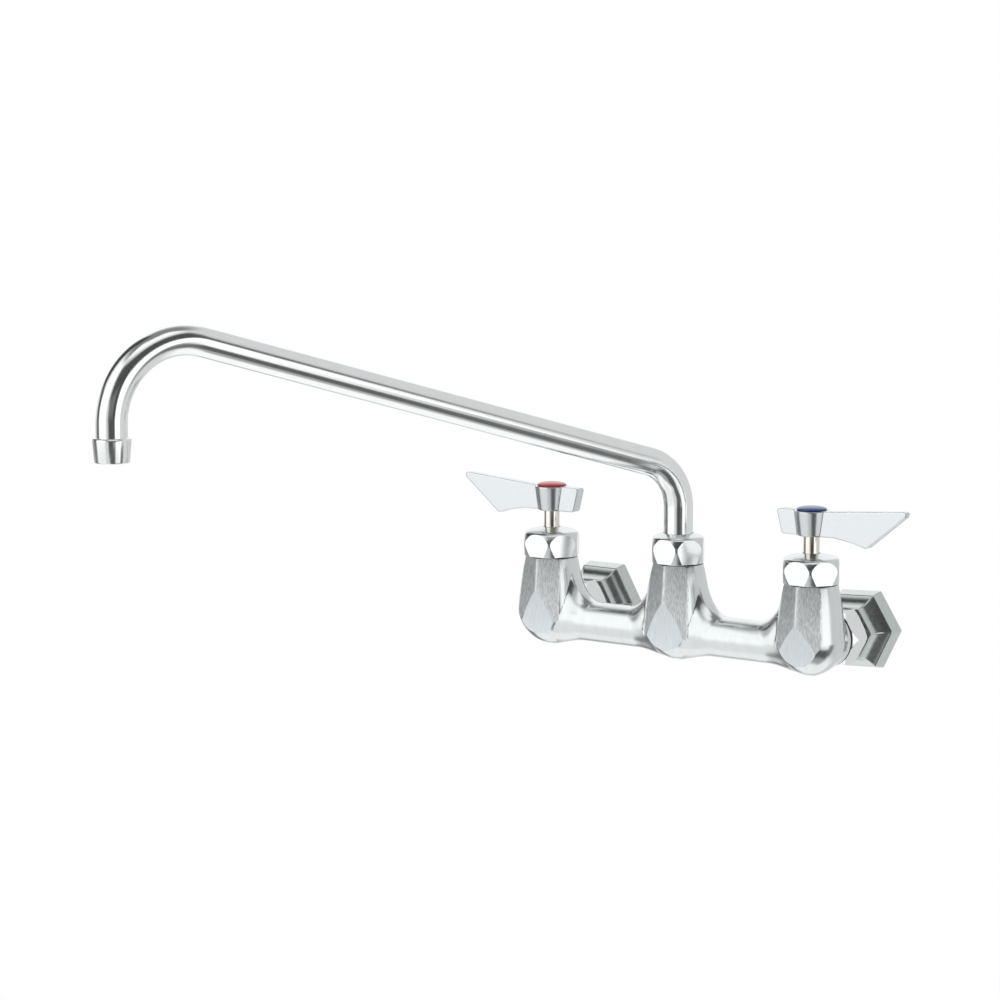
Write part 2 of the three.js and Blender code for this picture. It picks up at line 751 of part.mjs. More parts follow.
// The blade stands in the XZ plane and thins towards its tip.
function blade() {
  const geometry = new THREE.ExtrudeGeometry(bladeShape(), {
    depth: bladeThickness - 2 * bladeEdge,
    bevelThickness: bladeEdge,
    bevelSize: bladeEdge,
    bevelSegments: 1,
    curveSegments: 3,
  });
  geometry.translate(0, 0, -(bladeThickness - 2 * bladeEdge) / 2);
  geometry.rotateX(Math.PI / 2);
  const position = geometry.attributes.position;
  const thinning = 1 - bladeTipThickness / bladeThickness;
  for (let i = 0; i < position.count; i += 1) {
    const along = THREE.MathUtils.clamp(position.getX(i) / leverReach, 0, 1);
    position.setY(i, position.getY(i) * (1 - thinning * along));
  }
  return solidFrom(geometry);
}

function leverHandle() {
  const hub = revolve(
    [
      [0, handleBottom],
      [hubBottomRadius - hubEdge, handleBottom],
      [hubBottomRadius, handleBottom + hubEdge],
      [hubTopRadius, handleTop - hubEdge],
      [hubTopRadius - hubEdge, handleTop],
      [0, handleTop],
    ],
    fineSides,
  );
  const socketTop = stemTop + seatGap;
  const splineFoot = stemTop - splineLength;
  return cut(
    join(blade(), hub),
    disc(stemRadius + seatGap, barbHeight, splineFoot + splineRunout),
    spline(splineRadius + seatGap, splineFoot, socketTop),
    disc(screwRadius + seatGap, handleBottom, handleTop + overrun, smallSides),
    disc(capPlugRadius + seatGap, socketTop + screwFloor, handleTop + overrun),
  );
}

function handleScrew() {
  const seat = stemTop + screwFloor + 2 * seatGap;
  const profile = [
    [0, stemTop - screwLength],
    [screwRadius, stemTop - screwLength],
    [screwRadius, seat],
    [screwHeadRadius, seat],
    [screwHeadRadius, seat + screwHeadHeight / 2],
    [screwHeadRadius * 0.7, seat + screwHeadHeight],
    [0, seat + screwHeadHeight],
  ];
  const slot = block(3 * screwHeadRadius, screwSlotWidth, 2 * screwSlotDepth, 0, 0, seat + screwHeadHeight);
  return cut(revolve(profile, smallSides), slot);
}

// Coloured index cap: a low dome on the hub with a hollow plug in its counterbore.
function indexCap() {
  const seat = handleTop + seatGap;
  const dome = capCrown - capEdge;
  const crown = quarter(3, (angle) => {
    return [capRadius * Math.cos(angle), seat + capEdge + dome * Math.sin(angle)];
  });
  const plugFoot = seat - capPlugDepth;
  const profile = [
    [0, seat],
    [capPlugRadius - capPlugWall, seat],
    [capPlugRadius - capPlugWall, plugFoot],
    [capPlugRadius, plugFoot],
    [capPlugRadius, seat],
    [capRadius, seat],
    [capRadius, seat + capEdge],
    ...crown,
  ];
  profile[profile.length - 1][0] = 0;
  return revolve(profile);
}

// ---------------------------------------------------------------- swing spout

// The spout's centreline in its own plane, as stations: all of them lie in the bends and at
// the ends of the straight lengths.
function spoutStations() {
  const incline = radians(spoutIncline);
  const stations = [];
  const add = (out, up, heading) => stations.push({
    point: new THREE.Vector3(0, -out, up),
    tangent: new THREE.Vector3(0, -Math.cos(heading), Math.sin(heading)),
  });
  const bend = (centreOut, centreUp, radius, from, to, steps) => {
    for (let i = 0; i <= steps; i += 1) {
      const heading = from + ((to - from) * i) / steps;
      add(centreOut - radius * Math.sin(heading), centreUp + radius * Math.cos(heading), heading);
    }
  };
  const firstCentre = swivelBendRadius;
  const firstEnd = firstCentre - swivelBendRadius * Math.sin(incline);
  const firstEndUp = riseStart + swivelBendRadius * Math.cos(incline);
  const secondStart = spoutReach - outletBendRadius - outletBendRadius * Math.sin(incline);
  const secondStartUp = firstEndUp + (secondStart - firstEnd) * Math.tan(incline);
  const secondCentreUp = secondStartUp - outletBendRadius * Math.cos(incline);
  add(0, tubeFoot, Math.PI / 2);
  bend(firstCentre, riseStart, swivelBendRadius, Math.PI / 2, incline, 7);
  bend(spoutReach - outletBendRadius, secondCentreUp, outletBendRadius, incline, -Math.PI / 2, 9);
  add(spoutReach, outletHeight + collarHeight * collarLedge, -Math.PI / 2);
  return stations;
}

// A curve whose steps fall on the stations instead of at equal lengths.
class StationCurve extends THREE.Curve {
  constructor(stations) {
    super();
    this.stations = stations;
  }

  getPointAt(share, target = new THREE.Vector3()) {
    return target.copy(this.stations[Math.round(share * (this.stations.length - 1))].point);
  }

  getTangentAt(share, target = new THREE.Vector3()) {
    return target.copy(this.stations[Math.round(share * (this.stations.length - 1))].tangent);
  }
}

function spoutTube() {
  const section = new THREE.Shape().absarc(0, 0, tubeRadius, 0, 2 * Math.PI);
  section.holes.push(new THREE.Path().absarc(0, 0, tubeRadius - tubeWall, 0, 2 * Math.PI, true));
  const stations = spoutStations();
  return solidFrom(new THREE.ExtrudeGeometry(section, {
    steps: stations.length - 1,
    extrudePath: new StationCurve(stations),
    curveSegments: circleSteps(plainSides),
  }));
}

const sleeveFoot = tubeFoot + sleeveInset;
const sleeveFlangeFoot = spoutTop + spoutNeckHeight + seatGap;
const sleeveTop = sleeveFlangeFoot + sleeveFlange;
const spoutNutFoot = spoutTop + nutGap;
const spoutSeals = sealHeights.map((height) => sleeveFoot + height);
const spoutSealRadius = spoutBoreRadius - sealSlack - sealSection;
const sealGrooveRadius = spoutSealRadius - sealSection - sealSlack;

// Brass swivel sleeve fixed on the tube's foot, with two seal grooves and a thrust flange.
function swivelSleeve() {
  const bore = tubeRadius + solderGap;
  const half = sealSection + sealSlack;
  const profile = [[bore, sleeveFoot], [sleeveRadius, sleeveFoot]];
  for (const height of spoutSeals) {
    profile.push([sleeveRadius, height - half], [sealGrooveRadius, height - half]);
    profile.push([sealGrooveRadius, height + half], [sleeveRadius, height + half]);
  }
  profile.push([sleeveRadius, sleeveFlangeFoot], [sleeveFlangeRadius, sleeveFlangeFoot]);
  profile.push([sleeveFlangeRadius, sleeveTop], [bore, sleeveTop], [bore, sleeveFoot]);
  return revolve(profile);
}

// Collar round the tube's outlet end that holds the flow regulator.
function outletCollar() {
  const top = outletHeight + collarHeight;
  const bore = tubeRadius + solderGap;
  const mouth = collarBottomRadius - collarLip;
  const ledge = outletHeight + collarHeight * collarLedge - seatGap;
  return revolve(
    [
      [mouth, outletHeight],
      [collarBottomRadius - collarEdge, outletHeight],
      [collarBottomRadius, outletHeight + collarEdge],
      [collarTopRadius, top - collarShoulder],
      [tubeRadius + collarEdge, top],
      [bore, top],
      [bore, ledge],
      [mouth, ledge],
      [mouth, outletHeight],
    ],
    fineSides,
  );
}

const regulatorRadius = collarBottomRadius - collarLip - seatGap;

// Flow regulator: a thick plastic disc with rings of small holes.
function flowRegulator() {
  const low = outletHeight + regulatorInset;
  const top = low + regulatorThickness;
  let body = disc(regulatorRadius, low, top);
  for (const [radius, count] of regulatorHoles) {
    for (let i = 0; i < count; i += 1) {
      const angle = (i / count) * 2 * Math.PI;
      const hole = disc(regulatorHoleRadius, low - overrun, top + overrun, 6);
      body = body.subtract(hole.translate([radius * Math.cos(angle), radius * Math.sin(angle), 0]));
    }
  }
  return body;
}

// ---------------------------------------------------------------- assembly

const half = inletCentres / 2;
const axisY = -axisFromWall;

const bodyGroup = new THREE.Group();
bodyGroup.position.set(0, axisY, 0);
faucet.add(bodyGroup);
place(bodyGroup, "faucet_body", castBody(), finishes.brushedChrome);

// One valve with its supply union; outward is -1 on the hot side and +1 on the cold side.
function addValve(side, outward, capFinish) {
  const stack = new THREE.Group();
  stack.position.set(outward * half, axisY, 0);
  faucet.add(stack);
  const gasket = ring(seatPortRadius + washerInset, discRadius, chamberFloor + seatGap, gasketTop);
  place(stack, `${side}_seat_gasket`, gasket, finishes.seal);
  place(stack, `${side}_fixed_disc`, portedDisc(fixedDiscFoot), finishes.ceramic);
  place(stack, `${side}_moving_disc`, portedDisc(movingDiscFoot), finishes.ceramic);
  place(stack, `${side}_cartridge_barrel`, cartridgeBarrel(), finishes.brass);
  place(stack, `${side}_stem`, stem(), finishes.nickel);
  place(stack, `${side}_stem_o_ring`, oRing(stemSealRadius, stemSealHeight), finishes.seal);
  const nutSizes = { flats: bonnetFlats, height: bonnetHeight, dome: bonnetDome, hole: bonnetHoleRadius };
  const nut = threadedNut(nutSizes, valveNeckRadius, barrelTop + seatGap - bonnetFoot);
  place(stack, `${side}_bonnet_nut`, nut.translate([0, 0, bonnetFoot]), finishes.polishedChrome);

  const lever = new THREE.Group();
  lever.rotation.z = outward > 0 ? 0 : Math.PI;
  stack.add(lever);
  place(lever, `${side}_lever_handle`, leverHandle(), finishes.handleSatin);
  place(lever, `${side}_handle_screw`, handleScrew(), finishes.steel);
  place(lever, `${side}_index_cap`, indexCap(), capFinish);

  const supply = new THREE.Group();
  supply.position.set(outward * half, 0, 0);
  supply.rotation.x = Math.PI / 2;
  faucet.add(supply);
  const flange = place(supply, `${side}_inlet_flange`, inletFlange(), finishes.flangeChrome);
  flange.rotation.z = outward > 0 ? radians(coldFlangeTurn) : 0;
  place(supply, `${side}_inlet_washer`, fibreWasher(), finishes.fibre);

  const union = new THREE.Group();
  union.position.set(outward * half, axisY + bossReach + couplingGap, 0);
  union.rotation.x = -Math.PI / 2;
  faucet.add(union);
  place(union, `${side}_coupling_nut`, couplingNut(), finishes.polishedChrome);
}

addValve("hot", -1, finishes.red);
addValve("cold", 1, finishes.blue);

const spout = new THREE.Group();
spout.position.set(0, axisY, 0);
spout.rotation.z = radians(-spoutSwing);
faucet.add(spout);
place(spout, "spout_tube", spoutTube(), finishes.polishedChrome);
place(spout, "spout_swivel_sleeve", swivelSleeve(), finishes.brass);
spoutSeals.forEach((height, i) => {
  const seal = oRing(spoutSealRadius, height);
  place(spout, `spout_o_ring_${i + 1}`, seal, finishes.seal);
});

const outlet = new THREE.Group();
outlet.position.set(0, -spoutReach, 0);
spout.add(outlet);
place(outlet, "outlet_collar", outletCollar(), finishes.polishedChrome);
place(outlet, "outlet_flow_regulator", flowRegulator(), finishes.plastic);

const swivel = new THREE.Group();
swivel.position.set(0, axisY, 0);
faucet.add(swivel);
const thrustFoot = sleeveTop + seatGap;
const thrustTop = thrustFoot + washerThickness;
const thrustWasher = ring(tubeRadius + turningGap, sleeveFlangeRadius, thrustFoot, thrustTop);
place(swivel, "spout_thrust_washer", thrustWasher, finishes.plastic);
const spoutNutSizes = {
  flats: spoutNutFlats,
  height: spoutNutHeight,
  dome: spoutNutDome,
  hole: tubeRadius + turningGap,
};
const spoutNutShoulder = thrustTop + seatGap - spoutNutFoot;
const spoutNut = threadedNut(spoutNutSizes, spoutNeckRadius, spoutNutShoulder);
place(swivel, "spout_nut", spoutNut.translate([0, 0, spoutNutFoot]), finishes.polishedChrome);

export default faucet;
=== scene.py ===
from functools import reduce
from math import ceil, cos, degrees, hypot, pi, radians, sin, sqrt, tan

import bpy
import numpy as np
from mathutils import Matrix


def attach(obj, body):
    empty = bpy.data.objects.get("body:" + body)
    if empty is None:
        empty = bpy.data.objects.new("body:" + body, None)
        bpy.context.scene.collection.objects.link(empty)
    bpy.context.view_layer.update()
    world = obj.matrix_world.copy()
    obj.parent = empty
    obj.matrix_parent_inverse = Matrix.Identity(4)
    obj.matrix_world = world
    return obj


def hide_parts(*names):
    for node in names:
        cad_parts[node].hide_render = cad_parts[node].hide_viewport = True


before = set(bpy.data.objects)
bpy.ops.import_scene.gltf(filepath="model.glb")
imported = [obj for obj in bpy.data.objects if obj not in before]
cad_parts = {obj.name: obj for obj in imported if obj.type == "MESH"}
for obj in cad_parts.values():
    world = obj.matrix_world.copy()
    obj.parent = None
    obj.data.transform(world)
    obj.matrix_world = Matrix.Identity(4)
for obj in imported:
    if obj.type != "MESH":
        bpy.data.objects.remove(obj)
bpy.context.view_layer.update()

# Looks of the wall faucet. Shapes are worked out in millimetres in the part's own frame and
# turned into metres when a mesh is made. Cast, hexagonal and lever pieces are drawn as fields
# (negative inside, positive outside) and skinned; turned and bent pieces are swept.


# -------- sizes, as in the solids

INLET_CENTRES = 203.2
HALF = INLET_CENTRES / 2
AXIS_Y = -65.0
SPOUT_REACH = 406.4
SPOUT_SWING = 21.5

VALVE_TOP, VALVE_TOP_RADIUS = 38.0, 17.3
SPOUT_TOP, SPOUT_TOP_RADIUS = 42.2, 16.4
VALVE_RISER = (VALVE_TOP, VALVE_TOP_RADIUS)
SPOUT_RISER = (SPOUT_TOP, SPOUT_TOP_RADIUS)
CASTING_BOTTOM = -21.1
RISER_WAIST, WAIST_HEIGHT, RISER_BARREL, BULB_POWER = 22.3, 2.0, 1.2, 1.85
BAR_RADIUS, BAR_DROP = 13.3, 3.3
BOSS_RADIUS, BOSS_REACH, BOSS_ROOT, BOSS_FLARE, BOSS_FILLET = 18.4, 21.0, 4.0, 1.5, 2.5

# Fillet between bar and risers: its length up the riser and along the bar, and how round it
# bends. FRONT_END and SIDE_START are places round a riser, which runs from -1 in front to 1.
COVE_LEGS, FRONT_LEGS, UNDER_LEGS = (21.0, 17.0), (2.5, 9.0), (6.0, 13.0)
FRONT_BEND, SIDE_BEND = 1.3, 2.0
FRONT_END, SIDE_START = -0.65, -0.1

# Side facets, and a nose facet for each riser
RIDGE_STAND, RIDGE_SPREAD = 0.2, 0.08
FACET_TURN_TOP, FACET_TURN_LOW, FACET_TURN_HEIGHT = 25.5, 18.5, 10.0
HOT_NOSE_TOP, HOT_NOSE_SLOPE = 17.6, 0.18
MIDDLE_NOSE_TOP, MIDDLE_NOSE_SLOPE = 19.2, 0.195
COLD_NOSE_TOP, COLD_NOSE_SLOPE = 13.8, 0.23
NOSE_CURVE = 150.0
FACET_REACH_TOP, FACET_REACH_LOW, FACET_FOOT, FACET_RUNOUT = 13.6, 16.2, -9.0, 0.25

VALVE_NECK_RADIUS, VALVE_NECK_HEIGHT = 14.4, 9.0
SPOUT_NECK_RADIUS, SPOUT_NECK_HEIGHT = 14.2, 9.6
BOSS_THREAD_RADIUS, BOSS_THREAD_LENGTH = 13.3, 8.0
VALVE_END = VALVE_TOP + VALVE_NECK_HEIGHT
SPOUT_END = SPOUT_TOP + SPOUT_NECK_HEIGHT
BOSS_END = BOSS_REACH + BOSS_THREAD_LENGTH

CHAMBER_RADIUS, SEAT_PORT_RADIUS, SEAT_THICKNESS = 12.3, 5.0, 3.0
SUMP_RADIUS, SUMP_FLOOR, DIP_RADIUS = 8.0, -13.0, 5.0
INLET_BORE_RADIUS, INLET_BORE_DEPTH = 7.0, 12.0
DIP_SETBACK = 2.0
CROSS_BORE_RADIUS, CROSS_BORE_HEIGHT, CROSS_BORE_REACH = 4.8, 1.0, 3.0
SPOUT_BORE_RADIUS, SPOUT_BORE_FLOOR = 12.2, 12.0
SPOUT_PORT_RADIUS, SPOUT_PORT_FLOOR = 7.5, -5.0
BORE_OVERLAP = 1.0

BONNET_FLATS, BONNET_HEIGHT, BONNET_HOLE, BONNET_DOME = 35.3, 19.2, 5.6, 3.3
SPOUT_NUT_FLATS, SPOUT_NUT_HEIGHT, SPOUT_NUT_DOME = 33.0, 19.4, 2.4
NUT_GAP = 0.6
# A domed nut's widths as shares of its half flats or half corners, and heights of its flats
NUT_FOOT_WIDTH, NUT_CORNER_WIDTH, NUT_SHOULDER_WIDTH = 1.045, 0.992, 1.08
NUT_CORNER_HEIGHT, NUT_SHOULDER_HEIGHT = 0.58, 0.84
NUT_CROWN_INSET, NUT_CROWN_SHARE = 1.0, 0.2
COUPLING_FLATS, COUPLING_LENGTH, COUPLING_GAP = 35.0, 16.4, 1.0
COUPLING_FRONT, COUPLING_BACK, COUPLING_LIP = 3.5, 1.9, 3.0

FLANGE_FLATS, FLANGE_RIM_FLATS, FLANGE_RIM = 50.4, 46.6, 9.0
FLANGE_HUB_FLATS, FLANGE_DEPTH, COLD_FLANGE_TURN = 32.2, 21.2, 2.8
FLANGE_HOLLOW_TURN = 52.0
SPIGOT_RADIUS, COLLAR_RADIUS, COLLAR_THICKNESS = 11.0, 12.9, 2.5
SOCKET_RADIUS, SOCKET_DEPTH = 10.0, 17.0
WASHER_THICKNESS = 2.0

STEM_RADIUS, STEM_FOOT, STEM_FOOT_RADIUS, STEM_FOOT_HEIGHT = 5.15, 8.8, 9.0, 3.2
SPLINE_RADIUS, SPLINE_LENGTH, SPLINE_RUNOUT = 4.5, 10.0, 0.6
SCREW_RADIUS, SCREW_LENGTH, SCREW_FLOOR, SCREW_RUNOUT = 2.0, 9.0, 1.2, 1.0
STEM_GROOVE_RADIUS, STEM_GROOVE_HALF = 3.55, 0.95

HANDLE_BOTTOM, HANDLE_TOP = 69.0, 85.3
HUB_TOP_RADIUS, HUB_BOTTOM_RADIUS = 11.4, 9.0
HUB_SLOPE = (HUB_TOP_RADIUS - HUB_BOTTOM_RADIUS) / (HANDLE_TOP - HANDLE_BOTTOM)
BLADE_THICKNESS, BLADE_TIP_THICKNESS, BLADE_RISE, BLADE_EDGE = 8.0, 5.2, 4.2, 0.7
LEVER_REACH, TAIL_REACH, TAIL_SLOPE = 71.0, 23.6, 3.4
BARB_REACH, BARB_HEIGHT, BLADE_RUN = 41.3, 64.2, 9.0
TIP_CORNER, BARB_CORNER, TAIL_CORNER = 2.4, 1.4, 1.5
BARB_RUN, BARB_SAG = 11.6, 1.2
STEM_TOP = HANDLE_TOP - 5.5
CAP_RADIUS, CAP_CROWN, CAP_EDGE, CAP_CHAMFER = 9.75, 2.4, 0.4, 0.2
CAP_PLUG_RADIUS, CAP_PLUG_DEPTH, CAP_PLUG_WALL = 6.8, 3.0, 1.2

TUBE_RADIUS, TUBE_WALL, TUBE_FOOT, RISE_START = 9.525, 1.25, 18.0, 79.0
SWIVEL_BEND, SPOUT_INCLINE, OUTLET_BEND = 33.4, 16.24, 47.7
OUTLET_HEIGHT = 136.2
# The collar on the outlet
RING_HEIGHT, RING_TOP, RING_BOTTOM = 13.4, 11.8, 10.5
RING_RISE, RING_SHOULDER, RING_CHAMFER = 1.5, 0.9, 0.8
RING_LIP, RING_LEDGE = 1.5, 0.4
TUBE_END = OUTLET_HEIGHT + RING_HEIGHT * RING_LEDGE

SEAT_GAP = 0.3
SOLDER_GAP = 0.15
BARREL_STAND, THRUST_STAND = 2.5, 3.6
BARREL_TOP = VALVE_END + BARREL_STAND
THRUST_TOP = SPOUT_END + THRUST_STAND

# Fineness of the skins, room round them, and how round the edges look
BODY_CELL, NUT_CELL, FLANGE_CELL, HANDLE_CELL = 0.75, 0.42, 0.6, 0.5
MARGIN = 2.0
EDGE_ROUND, RIDGE_ROUND, FLAT_ROUND, CROWN_ROUND = 0.5, 0.9, 0.4, 1.2
FLANGE_ROUND, BLADE_ROUND, HUB_ROUND, HUB_FILLET = 0.7, 0.9, 1.0, 0.6
COLLAR_ROUND, STEM_ROUND = 0.7, 0.25
TURNED_SIDES, TUBE_SIDES, BEND_STEPS, CAP_STEPS = 96, 64, 48, 12
SMOOTH_ANGLE = 32.0

# How near to a surface a face's middle counts as part of it
FACET_NEAR, FACET_BEYOND, BORE_NEAR, SHOULDER_NEAR = 0.15, 0.6, 0.2, 0.1
FLAT_NEAR, HUB_NEAR = 0.06, 0.3
# Length of each boss's end that is painted near black as the shadow in the gap behind its union nut
SHADED_BOSS_END = 2.3

# Skinning: grid planes worked out at once, the step a slope is taken over, how firmly a vertex
# keeps to its cell's middle, and how far in from a corner its normal is taken
SLAB, SLOPE_STEP, MIDDLE_PULL, CORNER_INSET = 24, 0.02, 0.03, 0.3
TINY = 1e-9

# -------- fields


def soft_max(a, b, size):
    """The larger of two fields, with the edge between them rounded over about size."""
    blend = np.maximum(size - np.abs(a - b), 0.0) / size
    return np.maximum(a, b) + blend * blend * size * 0.25


def soft_all(fields, size):
    """soft_max over a list of fields."""
    return reduce(lambda a, b: soft_max(a, b, size), fields)


def most(*fields):
    """Largest of several fields: what their shapes have in common."""
    return reduce(np.maximum, fields)


def least(*fields):
    """Smallest of several fields: their shapes together."""
    return reduce(np.minimum, fields)


def filleted(a, b, leg_a, leg_b, bend=2.0):
    """Union of two fields with a hollow fillet: it leaves surface b where a is leg_a, and
    surface a where b is leg_b. A bend of 2 is a round hollow, one near 1 a straight ramp."""
    u = most(1.0 - a / leg_a, 0.0)
    v = most(1.0 - b / leg_b, 0.0)
    reach = most(u**bend + v**bend, 1e-12) ** (1 / bend)
    across = np.hypot((u / reach) ** (bend - 1) / leg_a, (v / reach) ** (bend - 1) / leg_b)
    hollow = (1.0 - reach) / most(across, TINY)
    return np.where((u > 0) & (v > 0), hollow, least(a, b))


def upright(x, y, z, radius, low, high):
    """Capped cylinder along Z."""
    return most(np.hypot(x, y) - radius, low - z, z - high)


def riser_field(x, y, z, top, top_radius):
    """A riser before its faces are ground: oval bulb under the waist, barrelled taper over it."""
    r = np.hypot(x, y)
    depth = WAIST_HEIGHT - CASTING_BOTTOM
    drop = most(WAIST_HEIGHT - z, 0.0)
    p = BULB_POWER
    across = most(r / RISER_WAIST, 1e-6)
    down = most(drop / depth, 1e-6)
    gauge = (across**p + down**p) ** (1 / p)
    slope = gauge ** (1 - p) * np.hypot(across ** (p - 1) / RISER_WAIST, down ** (p - 1) / depth)
    bulb = (gauge - 1.0) / most(slope, 0.02)
    share = np.clip((z - WAIST_HEIGHT) / (top - WAIST_HEIGHT), 0.0, 1.3)
    swell = RISER_WAIST - RISER_BARREL
    radius = RISER_WAIST * (1 - share) ** 2 + 2 * swell * share * (1 - share) + top_radius * share**2
    rate = 2 * (swell - RISER_WAIST) * (1 - share) + 2 * (top_radius - swell) * share
    taper = (r - radius) / np.hypot(1.0, rate / (top - WAIST_HEIGHT))
    return soft_max(np.where(z < WAIST_HEIGHT, bulb, taper), z - top, EDGE_ROUND)


def side_faces(x, y, z, top, top_radius):
    """The pair of side facets of a riser, as one field that cuts the casting. Past their own
    reach and under their foot they run out into the rest of the casting."""
    ridge = top_radius + RIDGE_STAND + (top - z) * RIDGE_SPREAD
    share = np.clip((z - FACET_TURN_HEIGHT) / (top - FACET_TURN_HEIGHT), 0.0, 1.2)
    turn = np.radians(FACET_TURN_LOW + (FACET_TURN_TOP - FACET_TURN_LOW) * share)
    beside = np.sqrt(x * x + RIDGE_ROUND**2)
    reach = FACET_REACH_LOW + (FACET_REACH_TOP - FACET_REACH_LOW) * np.clip(z / top, 0.0, 1.0)
    beyond = most(np.abs(x) - reach, 0.0)
    below = most(FACET_FOOT - z, 0.0)
    runout = FACET_RUNOUT * (beyond * beyond + below * below)
    return beside * np.sin(turn) - (y + ridge) * np.cos(turn) - runout


def nose_face(y, z, top, top_radius, nose_top, slope):
    """The low facet on the front of a riser, as a field that cuts the casting."""
    drop = nose_top - z
    ease = np.where(drop > 0, drop * drop / (2 * NOSE_CURVE), 0.0)
    foot = top_radius + RIDGE_STAND + (top - nose_top) * RIDGE_SPREAD
    return (-y - (foot - slope * drop + ease)) / np.hypot(1.0, slope)


def boss_field(x, y, z):
    """Inlet boss behind a valve riser, with its thread."""
    r = np.hypot(x, z)
    share = np.clip((y - BOSS_ROOT) / (BOSS_REACH - BOSS_ROOT), 0.0, 1.0)
    radius = BOSS_RADIUS + BOSS_FLARE * (1 - share) ** 2
    barrel = soft_max(r - radius, y - BOSS_REACH, EDGE_ROUND)
    thread = most(r - BOSS_THREAD_RADIUS, y - BOSS_END)
    return most(least(barrel, thread), BOSS_ROOT - y)


def valve_bores(x, y, z):
    """Chamber, seat port, sump and inlet bore of a valve, and the dip bore that joins the inlet
    bore to the sump aslant."""
    chamber = upright(x, y, z, CHAMBER_RADIUS, 0.0, VALVE_END + MARGIN)
    port = upright(x, y, z, SEAT_PORT_RADIUS, SUMP_FLOOR + BORE_OVERLAP, BORE_OVERLAP)
    sump = upright(x, y, z, SUMP_RADIUS, SUMP_FLOOR, -SEAT_THICKNESS)
    inlet = most(np.hypot(x, z) - INLET_BORE_RADIUS, BOSS_END - INLET_BORE_DEPTH - y)
    low = SUMP_FLOOR / 2 - BORE_OVERLAP
    run = BOSS_REACH - DIP_SETBACK
    length = hypot(run, low)
    along = (y * run - (z - low) * low) / length
    off = (y * low + (z - low) * run) / length
    dip = most(np.hypot(x, off) - DIP_RADIUS, -along, along - length)
    return least(chamber, port, sump, inlet, dip)


def waterways(x, y, z):
    """Everything bored out of the casting, y being measured from its axis."""
    beside = np.abs(x) - HALF
    spout_bore = upright(x, y, z, SPOUT_BORE_RADIUS, SPOUT_BORE_FLOOR, SPOUT_END + MARGIN)
    spout_port = upright(x, y, z, SPOUT_PORT_RADIUS, SPOUT_PORT_FLOOR, SPOUT_BORE_FLOOR + BORE_OVERLAP)
    across = np.hypot(y, z - CROSS_BORE_HEIGHT) - CROSS_BORE_RADIUS
    cross = most(across, beside + CHAMBER_RADIUS - CROSS_BORE_REACH)
    return least(spout_bore, spout_port, cross, valve_bores(beside, y, z))


def sideways(x, y):
    """0 on the front of a riser, growing to 1 at its sides and behind."""
    around = y / most(np.hypot(x, y), 1e-6)
    share = np.clip((around - FRONT_END) / (SIDE_START - FRONT_END), 0.0, 1.0)
    return share * share * (3 - 2 * share)


def joined_bar(riser, bar, growth, over):
    """A riser joined to the bar by a hollow fillet, which is widest over the bar."""
    legs = []
    for front, cove, under in zip(FRONT_LEGS, COVE_LEGS, UNDER_LEGS):
        legs.append(front + (np.where(over, cove, under) - front) * growth)
    on_riser, on_bar = legs
    bend = FRONT_BEND + (SIDE_BEND - FRONT_BEND) * growth
    return filleted(riser, bar, on_bar, on_riser, bend)


def uncut_field(x, y, z):
    """The casting before its faces are ground and its bores are cut, y being measured from its
    axis."""
    beside = np.abs(x) - HALF
    arm = np.hypot(y, z + BAR_DROP)
    bar = most(arm - BAR_RADIUS, beside)
    lift = np.abs(z + BAR_DROP) / most(arm, TINY)
    over = z > -BAR_DROP
    valve = riser_field(beside, y, z, *VALVE_RISER)
    valve = filleted(valve, boss_field(beside, y, z), BOSS_FILLET, BOSS_FILLET)
    middle = riser_field(x, y, z, *SPOUT_RISER)
    valve = joined_bar(valve, bar, lift * sideways(beside, y), over)
    return least(valve, joined_bar(middle, bar, lift * sideways(x, y), over))


def all_side_faces(x, y, z):
    """The side facets of all three risers."""
    valve = side_faces(np.abs(x) - HALF, y, z, *VALVE_RISER)
    return most(valve, side_faces(x, y, z, *SPOUT_RISER))


def all_nose_faces(x, y, z):
    """The low front facets of all three risers; each was ground to its own height."""
    nose_top = np.where(x > 0, COLD_NOSE_TOP, HOT_NOSE_TOP)
    slope = np.where(x > 0, COLD_NOSE_SLOPE, HOT_NOSE_SLOPE)
    valve = nose_face(y, z, *VALVE_RISER, nose_top, slope)
    middle = nose_face(y, z, *SPOUT_RISER, MIDDLE_NOSE_TOP, MIDDLE_NOSE_SLOPE)
    return np.where(np.abs(x) > HALF / 2, valve, middle)


def body_field(x, y, z):
    """The whole casting."""
    y = y - AXIS_Y
    beside = np.abs(x) - HALF
    skin = most(uncut_field(x, y, z), all_side_faces(x, y, z), all_nose_faces(x, y, z))
    valve_neck = upright(beside, y, z, VALVE_NECK_RADIUS, VALVE_TOP - BORE_OVERLAP, VALVE_END)
    spout_neck = upright(x, y, z, SPOUT_NECK_RADIUS, SPOUT_TOP - BORE_OVERLAP, SPOUT_END)
    return most(least(skin, valve_neck, spout_neck), -waterways(x, y, z))


def on_facets(x, y, z):
    """Where the casting's skin is a side facet, and where it is a nose facet."""
    y = y - AXIS_Y
    uncut = uncut_field(x, y, z)
    sides = all_side_faces(x, y, z)
    noses = all_nose_faces(x, y, z)
    beside = least(np.abs(x), np.abs(np.abs(x) - HALF))
    near = (beside < FACET_REACH_LOW + FACET_BEYOND) & (z < SPOUT_TOP)
    on_side = (np.abs(sides) < FACET_NEAR) & (sides > most(uncut, noses)) & near
    on_nose = (np.abs(noses) < FACET_NEAR) & (noses > most(uncut, sides)) & near
    return on_side, on_nose


